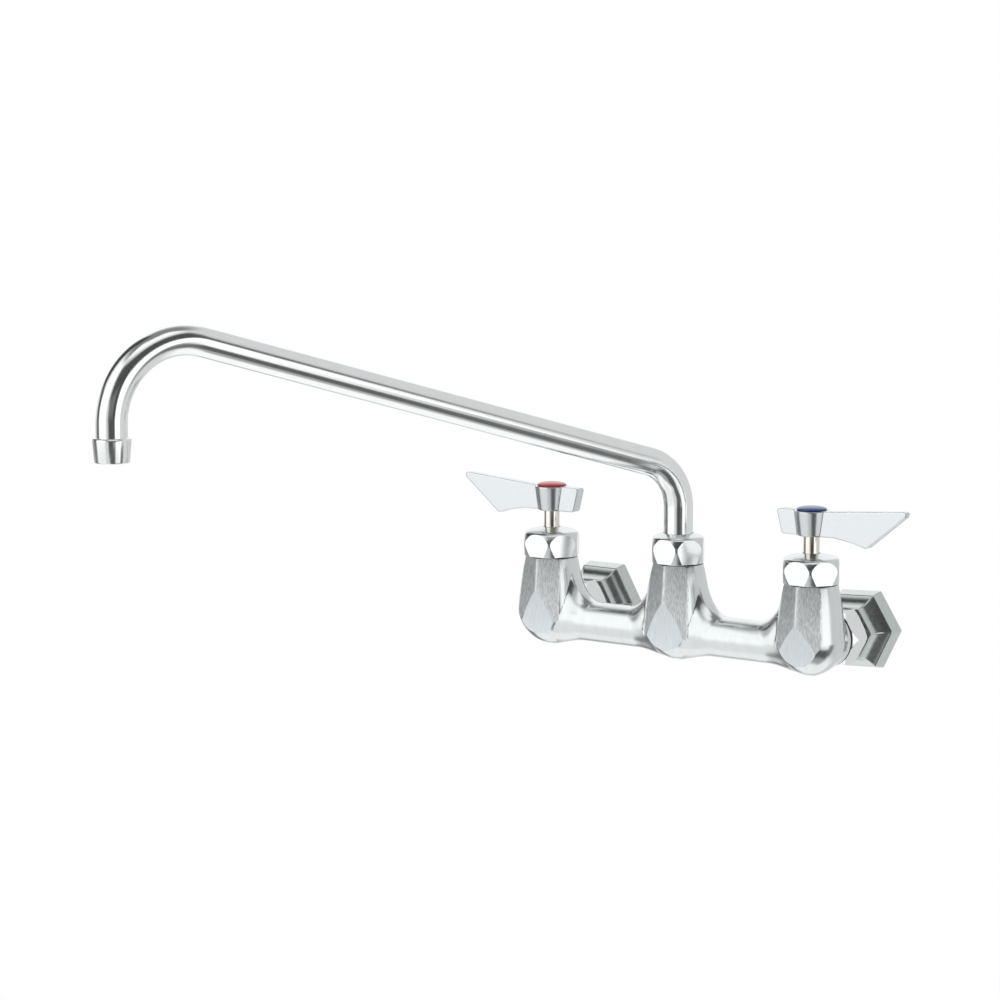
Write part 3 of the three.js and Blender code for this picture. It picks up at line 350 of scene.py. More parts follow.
def in_painted_shade(x, y, z):
    """The threads, the shoulders the nuts stand over, and the waterways: bare metal painted near black, as
    the shadow in the gap behind each union nut, the dark line under each nut and the shade in the bores.
    """
    y = y - AXIS_Y
    off = np.abs(x)
    beside = off - HALF
    # The boss's last stretch is painted as the shadow of the gap behind the union nut, the shoulders as the
    # dark line under the nuts
    boss_end = (y > BOSS_REACH - SHADED_BOSS_END) & (beside > -BOSS_RADIUS - MARGIN)
    valve_end = (z > VALVE_TOP - SHOULDER_NEAR) & (beside > -VALVE_TOP_RADIUS - MARGIN)
    spout_end = (z > SPOUT_TOP - SHOULDER_NEAR) & (off < SPOUT_TOP_RADIUS + MARGIN)
    return boss_end | valve_end | spout_end | (waterways(x, y, z) < BORE_NEAR)


def hex_field(a, b, edge):
    """Distance across a hexagon from its centre; its flats face plus and minus b."""
    tilt = sqrt(3) / 2
    flats = [np.abs(b), np.abs(a * tilt + b / 2), np.abs(a * tilt - b / 2)]
    return soft_all(flats, edge)


def turned_field(r, z, outline, edge):
    """Inside of a convex outline of (radius, height) points listed upwards."""
    fields = []
    for (r0, z0), (r1, z1) in zip(outline, outline[1:]):
        length = hypot(r1 - r0, z1 - z0)
        fields.append(((r - r0) * (z1 - z0) - (z - z0) * (r1 - r0)) / length)
    return soft_all(fields, edge)


def domed_nut(flats, height, dome, hole, thread, shoulder):
    """Field of a domed nut that stands on height 0."""
    apothem = flats / 2
    corner = flats / sqrt(3)
    flat_top = height - dome
    outline = [
        (apothem * NUT_FOOT_WIDTH, 0.0),
        (corner * NUT_CORNER_WIDTH, flat_top * NUT_CORNER_HEIGHT),
        (apothem * NUT_SHOULDER_WIDTH, flat_top * NUT_SHOULDER_HEIGHT),
        (apothem, flat_top),
        (apothem - NUT_CROWN_INSET, flat_top + dome * NUT_CROWN_SHARE),
        (hole, height),
    ]

    def field(x, y, z):
        r = np.hypot(x, y)
        flats_cut = hex_field(x, y, FLAT_ROUND) - apothem
        skin = most(turned_field(r, z, outline, CROWN_ROUND), flats_cut)
        skin = soft_max(skin, -z, EDGE_ROUND)
        bore = most(r - thread - SEAT_GAP, z - shoulder)
        return most(skin, -least(bore, r - hole))

    return field


def coupling_nut(x, y, z):
    """Union nut on height 0, its axis along z."""
    apothem = COUPLING_FLATS / 2
    corner = COUPLING_FLATS / sqrt(3)
    outline = [
        (apothem, 0.0),
        (corner, COUPLING_FRONT),
        (corner, COUPLING_LENGTH - COUPLING_BACK),
        (apothem, COUPLING_LENGTH),
    ]
    r = np.hypot(x, y)
    skin = most(turned_field(r, z, outline, EDGE_ROUND), hex_field(x, y, FLAT_ROUND) - apothem)
    skin = soft_max(soft_max(skin, -z, EDGE_ROUND), z - COUPLING_LENGTH, EDGE_ROUND)
    bore = most(r - BOSS_THREAD_RADIUS - SEAT_GAP, z - COUPLING_LENGTH + COUPLING_LIP)
    return most(skin, -least(bore, r - SPIGOT_RADIUS - SEAT_GAP))


def flange_field(x, y, z):
    """Inlet flange, z being the distance from the wall. The hollow between rim and hub is an arc
    through both, which turns by FLANGE_HOLLOW_TURN degrees."""
    across = hex_field(x, y, FLANGE_ROUND)
    rim = FLANGE_RIM_FLATS / 2
    draft = (FLANGE_FLATS - FLANGE_RIM_FLATS) / 2 / FLANGE_RIM
    sides = (across - FLANGE_FLATS / 2 + draft * z) / hypot(1.0, draft)
    outer = soft_max(sides, z - FLANGE_DEPTH, EDGE_ROUND)
    hub = FLANGE_HUB_FLATS / 2
    chord = hypot(rim - hub, FLANGE_DEPTH - FLANGE_RIM)
    half_turn = radians(FLANGE_HOLLOW_TURN) / 2
    radius = chord / 2 / sin(half_turn)
    stand = radius * cos(half_turn) / chord
    centre_across = (rim + hub) / 2 + stand * (FLANGE_DEPTH - FLANGE_RIM)
    centre_up = (FLANGE_RIM + FLANGE_DEPTH) / 2 + stand * (rim - hub)
    hollow = radius - np.hypot(across - centre_across, z - centre_up)
    hexagonal = most(soft_max(outer, hollow, EDGE_ROUND), -z)
    face = -AXIS_Y - BOSS_END - WASHER_THICKNESS - 2 * SEAT_GAP
    r = np.hypot(x, y)
    spigot = most(r - SPIGOT_RADIUS, FLANGE_DEPTH - BORE_OVERLAP - z, z - face)
    collar = most(r - COLLAR_RADIUS, face - COLLAR_THICKNESS - z, z - face)
    socket = most(r - SOCKET_RADIUS, z - SOCKET_DEPTH)
    return most(least(hexagonal, spigot, collar), -least(socket, r - INLET_BORE_RADIUS))


def curve_points(start, control, end, steps=6):
    """Points of a quadratic curve after its start."""
    points = []
    for i in range(1, steps + 1):
        t = i / steps
        ends = zip(start, control, end)
        points.append(tuple(s * (1 - t) ** 2 + 2 * c * t * (1 - t) + e * t * t for s, c, e in ends))
    return points


def blade_outline():
    """Side view of the blade, inset by its edge rounding: x to the tip, then height."""
    rise = tan(radians(BLADE_RISE))

    def top_at(x):
        return HANDLE_TOP - BLADE_EDGE + max(0.0, x - HUB_TOP_RADIUS) * rise

    tip = LEVER_REACH - BLADE_EDGE
    tail = -TAIL_REACH + BLADE_EDGE
    bottom = HANDLE_BOTTOM + BLADE_EDGE
    barb = BARB_HEIGHT + BLADE_EDGE
    corner = TAIL_CORNER
    points = [(tail + corner, top_at(0)), (HUB_TOP_RADIUS, top_at(0)), (tip - TIP_CORNER, top_at(tip))]
    tip_end = (tip - TIP_CORNER / 2, top_at(tip) - TIP_CORNER)
    points += curve_points(points[-1], (tip, top_at(tip)), tip_end)
    points.append((BARB_REACH + BARB_CORNER, barb + BARB_CORNER / 2))
    barb_end = (BARB_REACH - BARB_CORNER, barb + BARB_CORNER / 4)
    points += curve_points(points[-1], (BARB_REACH, barb - BARB_CORNER / 4), barb_end)
    run_end = (HUB_BOTTOM_RADIUS + BLADE_RUN, bottom)
    points += curve_points(points[-1], (BARB_REACH - BARB_RUN, bottom - BARB_SAG), run_end, 12)
    low = tail + TAIL_SLOPE
    points.append((low + corner, bottom))
    points += curve_points(points[-1], (low, bottom), (low - corner / 4, bottom + corner))
    points.append((tail, top_at(0) - corner))
    points += curve_points(points[-1], (tail, top_at(0)), (tail + corner, top_at(0)))
    return points[:-1]


BLADE_OUTLINE = blade_outline()


def outline_field(x, z, points):
    """Signed distance to a closed outline."""
    nearest = np.full(np.broadcast(x, z).shape, 1e9)
    inside = np.zeros(nearest.shape, bool)
    for (x0, z0), (x1, z1) in zip(points, points[1:] + points[:1]):
        dx, dz = x1 - x0, z1 - z0
        share = np.clip(((x - x0) * dx + (z - z0) * dz) / (dx * dx + dz * dz), 0.0, 1.0)
        nearest = least(nearest, np.hypot(x - x0 - dx * share, z - z0 - dz * share))
        if dz != 0.0:
            crosses = ((z0 > z) != (z1 > z)) & (x < x0 + dx * (z - z0) / dz)
            inside ^= crosses
    return np.where(inside, -nearest, nearest)


def hub_radius(z):
    return HUB_BOTTOM_RADIUS + HUB_SLOPE * (z - HANDLE_BOTTOM)


def lever_field(x, y, z):
    """Lever handle round its stem axis, x towards the tip."""
    side = outline_field(x, z, BLADE_OUTLINE) - BLADE_EDGE
    thinning = 1 - BLADE_TIP_THICKNESS / BLADE_THICKNESS
    half = BLADE_THICKNESS / 2 * (1 - thinning * np.clip(x / LEVER_REACH, 0.0, 1.0))
    blade = soft_max(side, np.abs(y) - half, BLADE_ROUND)
    r = np.hypot(x, y)
    cone = (r - hub_radius(z)) / hypot(1.0, HUB_SLOPE)
    hub = soft_max(soft_max(cone, z - HANDLE_TOP, HUB_ROUND), HANDLE_BOTTOM - z, HUB_ROUND)
    solid = filleted(hub, blade, HUB_FILLET, HUB_FILLET)
    socket_top = STEM_TOP + SEAT_GAP
    spline_foot = STEM_TOP - SPLINE_LENGTH
    stem_hole = most(r - STEM_RADIUS - SEAT_GAP, z - spline_foot - SPLINE_RUNOUT)
    socket = most(r - SPLINE_RADIUS - SEAT_GAP, z - socket_top)
    screw_hole = r - SCREW_RADIUS - SEAT_GAP
    well = most(r - CAP_PLUG_RADIUS - SEAT_GAP, socket_top + SCREW_FLOOR - z)
    return most(solid, -least(stem_hole, socket, screw_hole, well))


def on_hub(x, y, z):
    """Where a lever handle's skin is its round hub."""
    return np.hypot(x, y) < hub_radius(z) + HUB_NEAR


# -------- meshes


def slopes(field, points):
    """How fast a field grows along each axis at each point."""
    result = np.empty_like(points)
    for axis in range(3):
        ahead = points.copy()
        ahead[:, axis] += SLOPE_STEP
        behind = points.copy()
        behind[:, axis] -= SLOPE_STEP
        result[:, axis] = (field(*ahead.T) - field(*behind.T)) / (2 * SLOPE_STEP)
    return result


def sample(field, low, cell, counts):
    """A field's values on a grid of cubes, worked out a slab at a time."""
    axes = [low[i] + cell * np.arange(counts[i]) for i in range(3)]
    values = np.empty(counts, np.float32)
    for start in range(0, counts[0], SLAB):
        x = axes[0][start : start + SLAB][:, None, None]
        values[start : start + SLAB] = field(x, axes[1][None, :, None], axes[2][None, None, :])
    return values


def skinned(field, low, high, cell):
    """Vertices, quads and corner normals of a field's surface, in the field's own frame."""
    low = np.array(low, float)
    counts = tuple(int(ceil((b - a) / cell)) + 1 for a, b in zip(low, high))
    values = sample(field, low, cell, counts)
    inside = values < 0
    cells = tuple(n - 1 for n in counts)
    keys, spots, quads = [], [], []
    for axis in range(3):
        first = tuple(slice(0, -1) if k == axis else slice(None) for k in range(3))
        second = tuple(slice(1, None) if k == axis else slice(None) for k in range(3))
        crossing = inside[first] != inside[second]
        index = np.argwhere(crossing)
        a = values[first][crossing].astype(float)
        b = values[second][crossing].astype(float)
        spot = index.astype(float)
        spot[:, axis] += a / (a - b)
        one, two = (axis + 1) % 3, (axis + 2) % 3
        around = []
        for along_one, along_two in ((-1, -1), (0, -1), (0, 0), (-1, 0)):
            corner = index.copy()
            corner[:, one] += along_one
            corner[:, two] += along_two
            around.append(np.ravel_multi_index(tuple(corner.T), cells))
            spots.append(spot)
        keys += around
        quad = np.stack(around, 1)
        quads.append(np.where((a < 0)[:, None], quad, quad[:, ::-1]))
    keys = np.concatenate(keys)
    spots = low + cell * np.concatenate(spots)
    names, inverse = np.unique(keys, return_inverse=True)
    quads = np.searchsorted(names, np.concatenate(quads))
    points = settled(field, spots, inverse, cell)
    return points, quads, corner_normals(field, points, quads)


def unit(vectors):
    return vectors / np.maximum(np.linalg.norm(vectors, axis=1, keepdims=True), TINY)


def settled(field, spots, owner, cell):
    """One point for each cell, where the planes of the skin through its crossings meet. Edges
    and corners come out sharp."""
    hits = np.bincount(owner)
    centre = np.stack([np.bincount(owner, spots[:, k]) / hits for k in range(3)], 1)
    normals = unit(slopes(field, spots))
    offset = (normals * (spots - centre[owner])).sum(1)
    system = np.zeros((len(hits), 3, 3))
    pull = np.zeros((len(hits), 3))
    for row in range(3):
        pull[:, row] = np.bincount(owner, normals[:, row] * offset)
        for column in range(row, 3):
            total = np.bincount(owner, normals[:, row] * normals[:, column])
            system[:, row, column] = total
            system[:, column, row] = total
    system += np.eye(3) * MIDDLE_PULL * hits[:, None, None]
    move = np.linalg.solve(system, pull[:, :, None])[:, :, 0]
    size = np.linalg.norm(move, axis=1, keepdims=True)
    return centre + move * np.minimum(1.0, cell / np.maximum(size, TINY))


def corner_normals(field, points, quads):
    """A normal for each corner of each face, taken a little way in from the corner, so that
    faces beside a sharp edge keep their own side's normal."""
    corners = points[quads]
    inward = corners + CORNER_INSET * (corners.mean(1, keepdims=True) - corners)
    return unit(slopes(field, inward.reshape(-1, 3)))


def placed(points, turn=0.0, at=(0.0, 0.0, 0.0), lay=0):
    """Points turned about Z by degrees, laid along the wall's normal if asked (lay is +1 when
    Z becomes +Y and -1 when it becomes -Y), then moved."""
    c, s = cos(radians(turn)), sin(radians(turn))
    x, y, z = points[:, 0] * c - points[:, 1] * s, points[:, 0] * s + points[:, 1] * c, points[:, 2]
    if lay:
        y, z = lay * z, -lay * y
    return np.stack([x, y, z], 1) + np.array(at)


def make_piece(name, points, faces, materials, normals=None):
    """An object from points in millimetres. Without normals its own angles set what is sharp."""
    mesh = bpy.data.meshes.new(name)
    mesh.from_pydata((points / 1000.0).tolist(), [], faces)
    for material in materials:
        mesh.materials.append(material)
    mesh.shade_smooth()
    if normals is None:
        mesh.set_sharp_from_angle(angle=radians(SMOOTH_ANGLE))
    else:
        mesh.normals_split_custom_set(normals.tolist())
    mesh.update()
    piece = bpy.data.objects.new(name, mesh)
    bpy.context.scene.collection.objects.link(piece)
    return piece


def paint(piece, numbers):
    """Give each face of a piece one of its materials by number."""
    piece.data.polygons.foreach_set("material_index", numbers.astype(np.int32))


def stands_for(piece, body, node, slot):
    """A piece rides on a body and replaces a node, which is hidden. The slot is not used."""
    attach(piece, body)
    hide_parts(node)


def face_middles(shape):
    """Middles of a skin's faces, as its x, y and z."""
    points, quads, _ = shape
    return points[quads].mean(1).T


def skin_piece(name, shape, materials, **place):
    """A skin from skinned() set in its place."""
    points, quads, normals = shape
    spot = placed(points, **place)
    turned = placed(normals, turn=place.get("turn", 0.0), lay=place.get("lay", 0))
    return make_piece(name, spot, quads.tolist(), materials, turned)


def rounded(outline, radius, steps=4):
    """An outline of (radius, height) points with its inner corners rounded."""
    points = [outline[0]]
    for before, corner, after in zip(outline, outline[1:], outline[2:]):
        into = np.subtract(before, corner)
        out = np.subtract(after, corner)
        reach = min(radius, np.hypot(*into) * 0.45, np.hypot(*out) * 0.45)
        start = np.add(corner, into / np.hypot(*into) * reach)
        end = np.add(corner, out / np.hypot(*out) * reach)
        points.append(tuple(start))
        points += curve_points(tuple(start), corner, tuple(end), steps)
    points.append(outline[-1])
    return points


def turned_piece(name, outline, at, material):
    """An outline of (radius, height) points, listed upwards, turned round an upright axis. It
    is closed where it meets the axis, or by its own last point."""
    points, rings, faces = [], [], []
    sides = TURNED_SIDES
    loop = outline[0] == outline[-1]
    stations = outline[:-1] if loop else outline
    for radius, height in stations:
        if radius < 1e-6:
            rings.append([len(points)] * sides)
            points.append((at[0], at[1], height))
            continue
        rings.append(list(range(len(points), len(points) + sides)))
        for i in range(sides):
            angle = 2 * pi * i / sides
            points.append((at[0] + radius * cos(angle), at[1] + radius * sin(angle), height))
    pairs = list(zip(rings, rings[1:]))
    if loop:
        pairs.append((rings[-1], rings[0]))
    for lower, upper in pairs:
        for i in range(sides):
            j = (i + 1) % sides
            face = [lower[i], lower[j], upper[j], upper[i]]
            faces.append([v for k, v in enumerate(face) if v != face[k - 1]])
    return make_piece(name, np.array(points), faces, [material])


# -------- materials


WHITE = (1, 1, 1, 1)
# Noise values between which a colour or a roughness runs from one end to the other
GRAIN_LOW, GRAIN_HIGH = 0.3, 0.7
METAL_RELIEF, PLAIN_RELIEF = 0.0001, 0.0002  # height of the grain, in metres
COAT_ROUGHNESS = 0.05


def fill(tree, node, sockets):
    """Give a node's sockets, by name or number, their numbers or links."""
    for key, value in sockets.items():
        if isinstance(value, bpy.types.NodeSocket):
            tree.links.new(value, node.inputs[key])
        else:
            node.inputs[key].default_value = value


def add_node(tree, kind, sockets, **settings):
    """Add a shader node of a kind and return its outputs."""
    node = tree.nodes.new("ShaderNode" + kind)
    for name, value in settings.items():
        setattr(node, name, value)
    fill(tree, node, sockets)
    return node.outputs


def new_material(name):
    material = bpy.data.materials.new(name)
    material.use_nodes = True
    return material, material.node_tree, material.node_tree.nodes["Principled BSDF"]


def grain(tree, scale, detail, stretch):
    """Noise over the object's own coordinates, per metre; a stretch under 1 pulls it out."""
    place = add_node(tree, "TexCoord", {})["Object"]
    stretched = add_node(tree, "Mapping", {"Vector": place, "Scale": stretch})["Vector"]
    return add_node(tree, "TexNoise", {"Vector": stretched, "Scale": scale, "Detail": detail})["Fac"]


def spread(tree, value, low, high):
    """A noise value brought into a range."""
    ends = {"From Min": GRAIN_LOW, "From Max": GRAIN_HIGH, "To Min": low, "To Max": high}
    return add_node(tree, "MapRange", {"Value": value, **ends})["Result"]


def tinted(tree, value, dark, light):
    """A noise value as a colour between two."""
    ramp = tree.nodes.new("ShaderNodeValToRGB")
    ends = ((GRAIN_LOW, dark), (GRAIN_HIGH, light))
    for element, (position, colour) in zip(ramp.color_ramp.elements, ends):
        element.position = position
        element.color = (*colour, 1)
    tree.links.new(value, ramp.inputs["Fac"])
    return ramp.outputs["Color"]


def finish(
    name, dark, light, rough, scale, stretch=(1, 1, 1), bump=0.0, detail=3.0, metallic=1.0, coat=0.0
):
    """Finish between two colours and two roughnesses over a fine grain, which may stand proud."""
    material, tree, shader = new_material(name)
    noise = grain(tree, scale, detail, stretch)
    colour = tinted(tree, noise, dark, light)
    roughness = spread(tree, noise, *rough)
    fill(tree, shader, {"Base Color": colour, "Roughness": roughness, "Metallic": metallic})
    fill(tree, shader, {"Coat Weight": coat, "Coat Roughness": COAT_ROUGHNESS})
    if bump:
        relief = METAL_RELIEF if metallic else PLAIN_RELIEF
        sockets = {"Height": noise, "Distance": relief, "Strength": bump}
        fill(tree, shader, {"Normal": add_node(tree, "Bump", sockets)["Normal"]})
    return material


# Each has its name, darker and lighter colour, range of roughness and the scale of its grain, and
# some have the grain's stretch, relief and detail.
satin_chrome = finish(
    "satin_chrome", (0.73, 0.75, 0.755), (0.78, 0.80, 0.805), (0.16, 0.22), 260, (1, 1, 0.35), 0.03
)
facet_chrome = finish(
    "brushed_facet_chrome", (0.50, 0.52, 0.53), (0.92, 0.94, 0.95), (0.40, 0.48), 2600, (1, 1, 0.06), 0.3, 2
)
nose_chrome = finish(
    "ground_nose_chrome", (0.62, 0.655, 0.675), (0.72, 0.755, 0.775), (0.30, 0.38), 1100, (1, 1, 0.12), 0.05
)
# Near-black bare metal: painted shade in the gaps behind and under the nuts and in the bores
bare_and_shaded_casting = finish("bare_and_shaded_casting", (0.03, 0.03, 0.029), (0.06, 0.058, 0.054), (0.5, 0.65), 500)
bright_chrome = finish("bright_chrome", (0.87, 0.88, 0.88), (0.90, 0.91, 0.91), (0.13, 0.16), 90)
nut_chrome = finish("nut_chrome", (0.86, 0.87, 0.87), (0.89, 0.90, 0.90), (0.10, 0.14), 120)
nut_crown = finish("turned_nut_chrome", (0.72, 0.74, 0.74), (0.77, 0.79, 0.79), (0.17, 0.22), 300)
flange_chrome = finish("flange_chrome", (0.60, 0.635, 0.62), (0.66, 0.695, 0.68), (0.20, 0.25), 300)
handle_satin = finish("handle_satin", (0.71, 0.73, 0.745), (0.74, 0.76, 0.775), (0.19, 0.23), 500)
hub_chrome = finish("handle_hub_chrome", (0.68, 0.70, 0.715), (0.72, 0.74, 0.755), (0.20, 0.24), 400)
nickel = finish("nickel", (0.80, 0.76, 0.68), (0.85, 0.81, 0.74), (0.08, 0.13), 400, (1, 1, 0.1))
brass = finish("brass", (0.66, 0.47, 0.19), (0.75, 0.56, 0.26), (0.25, 0.36), 300)
steel = finish("steel", (0.52, 0.53, 0.54), (0.6, 0.61, 0.62), (0.25, 0.34), 500)
red_cap = finish(
    "index_red", (0.60, 0.022, 0.028), (0.68, 0.035, 0.04), (0.16, 0.22), 700, metallic=0.0, coat=0.35
)
blue_cap = finish(
    "index_blue", (0.012, 0.055, 0.21), (0.018, 0.075, 0.27), (0.16, 0.22), 700, metallic=0.0, coat=0.35
)
seal_rubber = finish(
    "seal_rubber", (0.01, 0.01, 0.011), (0.02, 0.02, 0.022), (0.55, 0.7), 900, bump=0.1, metallic=0.0
)
fibre = finish("fibre", (0.09, 0.085, 0.07), (0.13, 0.12, 0.1), (0.8, 0.9), 1500, bump=0.3, metallic=0.0)
ceramic = finish("ceramic", (0.74, 0.72, 0.68), (0.82, 0.8, 0.76), (0.2, 0.3), 300, metallic=0.0)
plastic = finish("plastic", (0.6, 0.61, 0.62), (0.68, 0.69, 0.7), (0.4, 0.5), 500, metallic=0.0)

# -------- pieces of the faucet


def dress_body():
    """The casting: satin, with brushed side facets, ground nose facets, and bare threads, shoulders and
    bores painted near black as shade.
    """
    half_width = HALF + RISER_WAIST + MARGIN
    low = (-half_width, AXIS_Y - RISER_WAIST - MARGIN, CASTING_BOTTOM - MARGIN)
    high = (half_width, AXIS_Y + BOSS_END + MARGIN, SPOUT_END + MARGIN)
    shape = skinned(body_field, low, high, BODY_CELL)
    piece = skin_piece("casting", shape, [satin_chrome, facet_chrome, nose_chrome, bare_and_shaded_casting])
    middles = face_middles(shape)
    on_side, on_nose = on_facets(*middles)
    ground = np.where(on_side, 1, np.where(on_nose, 2, 0))
    # Threads, shoulders and bores get the near-black painted shade
    paint(piece, np.where(in_painted_shade(*middles), 3, ground))
    stands_for(piece, "faucet", "faucet_body", "brushed_chrome")


def hexagon_skin(field, flats, height, cell):
    """Skin of a field that stands on height 0 and is no wider than the flats given."""
    reach = flats / sqrt(3) + MARGIN
    return skinned(field, (-reach, -reach, -MARGIN), (reach, reach, height + MARGIN), cell)


def nut_skins():
    """Skins of the bonnet nut, the spout nut and the coupling nut."""
    bonnet_inside = BARREL_TOP + SEAT_GAP - VALVE_TOP - NUT_GAP
    spout_inside = THRUST_TOP + SEAT_GAP - SPOUT_TOP - NUT_GAP
    tube_hole = TUBE_RADIUS + SEAT_GAP
    bonnet = domed_nut(
        BONNET_FLATS, BONNET_HEIGHT, BONNET_DOME, BONNET_HOLE, VALVE_NECK_RADIUS, bonnet_inside
    )
    spout = domed_nut(
        SPOUT_NUT_FLATS, SPOUT_NUT_HEIGHT, SPOUT_NUT_DOME, tube_hole, SPOUT_NECK_RADIUS, spout_inside
    )
    fields = ((bonnet, BONNET_HEIGHT), (spout, SPOUT_NUT_HEIGHT), (coupling_nut, COUPLING_LENGTH))
    return [hexagon_skin(field, BONNET_FLATS, height, NUT_CELL) for field, height in fields]


def dress_domed_nut(name, node, shape, flats, at):
    """A domed nut with bright flats and a turned crown."""
    piece = skin_piece(name, shape, [nut_chrome, nut_crown], at=at)
    x, y, _ = face_middles(shape)
    paint(piece, np.where(hex_field(x, y, FLAT_ROUND) > flats / 2 - FLAT_NEAR, 0, 1))
    stands_for(piece, "faucet", node, "polished_chrome")


def dress_nuts():
    """Nuts and flanges of the two inlets, and the spout nut."""
    bonnet, spout, union = nut_skins()
    flange = hexagon_skin(flange_field, FLANGE_FLATS, -AXIS_Y - BOSS_END, FLANGE_CELL)
    dress_domed_nut("spout_nut_skin", "spout_nut", spout, SPOUT_NUT_FLATS, (0, AXIS_Y, SPOUT_TOP + NUT_GAP))
    for side, x, turn in (("hot", -HALF, 0.0), ("cold", HALF, COLD_FLANGE_TURN)):
        bonnet_at = (x, AXIS_Y, VALVE_TOP + NUT_GAP)
        dress_domed_nut(f"{side}_bonnet", f"{side}_bonnet_nut", bonnet, BONNET_FLATS, bonnet_at)
        union_at = (x, AXIS_Y + BOSS_REACH + COUPLING_GAP, 0)
        piece = skin_piece(f"{side}_union", union, [nut_chrome], at=union_at, lay=1)
        stands_for(piece, "faucet", f"{side}_coupling_nut", "polished_chrome")
        piece = skin_piece(f"{side}_flange", flange, [flange_chrome], at=(x, 0, 0), lay=-1, turn=turn)
        stands_for(piece, "faucet", f"{side}_inlet_flange", "flange_chrome")


def stem_outline():
    """Half section of a stem from its drive foot to the screw hole in its top."""
    groove_low = VALVE_TOP - STEM_GROOVE_HALF
    groove_high = VALVE_TOP + STEM_GROOVE_HALF
    spline_foot = STEM_TOP - SPLINE_LENGTH
    hole = SCREW_RADIUS + SEAT_GAP
    hole_foot = STEM_TOP - SCREW_LENGTH - SCREW_RUNOUT
    foot_top = STEM_FOOT + STEM_FOOT_HEIGHT
    outer = [
        (0, STEM_FOOT),
        (STEM_FOOT_RADIUS, STEM_FOOT),
        (STEM_FOOT_RADIUS, foot_top),
        (STEM_RADIUS, foot_top),
        (STEM_RADIUS, groove_low),
        (STEM_GROOVE_RADIUS, groove_low),
        (STEM_GROOVE_RADIUS, groove_high),
        (STEM_RADIUS, groove_high),
        (STEM_RADIUS, spline_foot - SPLINE_RUNOUT),
        (SPLINE_RADIUS, spline_foot),
        (SPLINE_RADIUS, STEM_TOP),
        (hole, STEM_TOP),
        (hole, hole_foot),
        (0, hole_foot),
    ]
    return rounded(outer, STEM_ROUND, 2)


def cap_outline():
    """Half section of an index cap: hollow plug, small chamfer, thin edge and domed crown."""
    seat = HANDLE_TOP + SEAT_GAP
    edge_top = seat + CAP_EDGE
    inner = CAP_PLUG_RADIUS - CAP_PLUG_WALL
    foot = seat - CAP_PLUG_DEPTH
    plug = [(0, seat), (inner, seat), (inner, foot), (CAP_PLUG_RADIUS, foot), (CAP_PLUG_RADIUS, seat)]
    rim = [(CAP_RADIUS - CAP_CHAMFER, seat), (CAP_RADIUS, seat + CAP_CHAMFER), (CAP_RADIUS, edge_top)]
    crown = []
    for i in range(1, CAP_STEPS):
        angle = i / CAP_STEPS * pi / 2
        rise = (CAP_CROWN - CAP_EDGE) * sin(angle)
        crown.append((CAP_RADIUS * cos(angle), edge_top + rise))
    return plug + rim + crown + [(0, seat + CAP_CROWN)]


def dress_valves():
    """Lever handle, stem and index cap of each valve."""
    blade_top = HANDLE_TOP + LEVER_REACH * tan(radians(BLADE_RISE))
    low = (-TAIL_REACH - MARGIN, -HUB_TOP_RADIUS - MARGIN, BARB_HEIGHT - MARGIN)
    high = (LEVER_REACH + MARGIN, HUB_TOP_RADIUS + MARGIN, blade_top + MARGIN)
    lever = skinned(lever_field, low, high, HANDLE_CELL)
    hub = np.where(on_hub(*face_middles(lever)), 1, 0)
    looks = (("hot", -HALF, 180.0, red_cap, "hot_red"), ("cold", HALF, 0.0, blue_cap, "cold_blue"))
    for side, x, turn, cap_look, cap_slot in looks:
        body = f"{side}_handle"
        axis = (x, AXIS_Y)
        handle = skin_piece(f"{side}_lever", lever, [handle_satin, hub_chrome], turn=turn, at=(*axis, 0))
        paint(handle, hub)
        stands_for(handle, body, f"{side}_lever_handle", "handle_satin")
        stem = turned_piece(f"{side}_stem_turned", stem_outline(), axis, nickel)
        stands_for(stem, body, f"{side}_stem", "nickel")
        cap = turned_piece(f"{side}_cap", cap_outline(), axis, cap_look)
        stands_for(cap, body, f"{side}_index_cap", cap_slot)


def spout_line():
    """Stations of the spout's centreline in its own plane: reach, height and heading."""
    incline = radians(SPOUT_INCLINE)
    line = [(0.0, TUBE_FOOT, pi / 2)]

    def bend(centre_out, centre_up, radius, start, end):
        for i in range(BEND_STEPS + 1):
            heading = start + (end - start) * i / BEND_STEPS
            reach = centre_out - radius * sin(heading)
            line.append((reach, centre_up + radius * cos(heading), heading))

    first_end = SWIVEL_BEND * (1 - sin(incline))
    first_up = RISE_START + SWIVEL_BEND * cos(incline)
    second_start = SPOUT_REACH - OUTLET_BEND * (1 + sin(incline))
    second_up = first_up + (second_start - first_end) * tan(incline)
    outlet_centre_up = second_up - OUTLET_BEND * cos(incline)
    bend(SWIVEL_BEND, RISE_START, SWIVEL_BEND, pi / 2, incline)
    bend(SPOUT_REACH - OUTLET_BEND, outlet_centre_up, OUTLET_BEND, incline, -pi / 2)
    line.append((SPOUT_REACH, TUBE_END, -pi / 2))
    return line


def spout_place(reach, across, height):
    """A point of the spout's plane, swung to where the spout rests."""
    swing = radians(-SPOUT_SWING)
    x = across * cos(swing) + reach * sin(swing)
    y = across * sin(swing) - reach * cos(swing)
    return (x, AXIS_Y + y, height)


def tube_points(line):
    """Rings of points round the spout's line, first outside and then inside its wall."""
    points = []
    for radius in (TUBE_RADIUS, TUBE_RADIUS - TUBE_WALL):
        for reach, height, heading in line:
            for i in range(TUBE_SIDES):
                angle = 2 * pi * i / TUBE_SIDES
                across = radius * cos(angle)
                lift = radius * sin(angle)
                out = reach - lift * sin(heading)
                points.append(spout_place(out, across, height + lift * cos(heading)))
    return np.array(points)


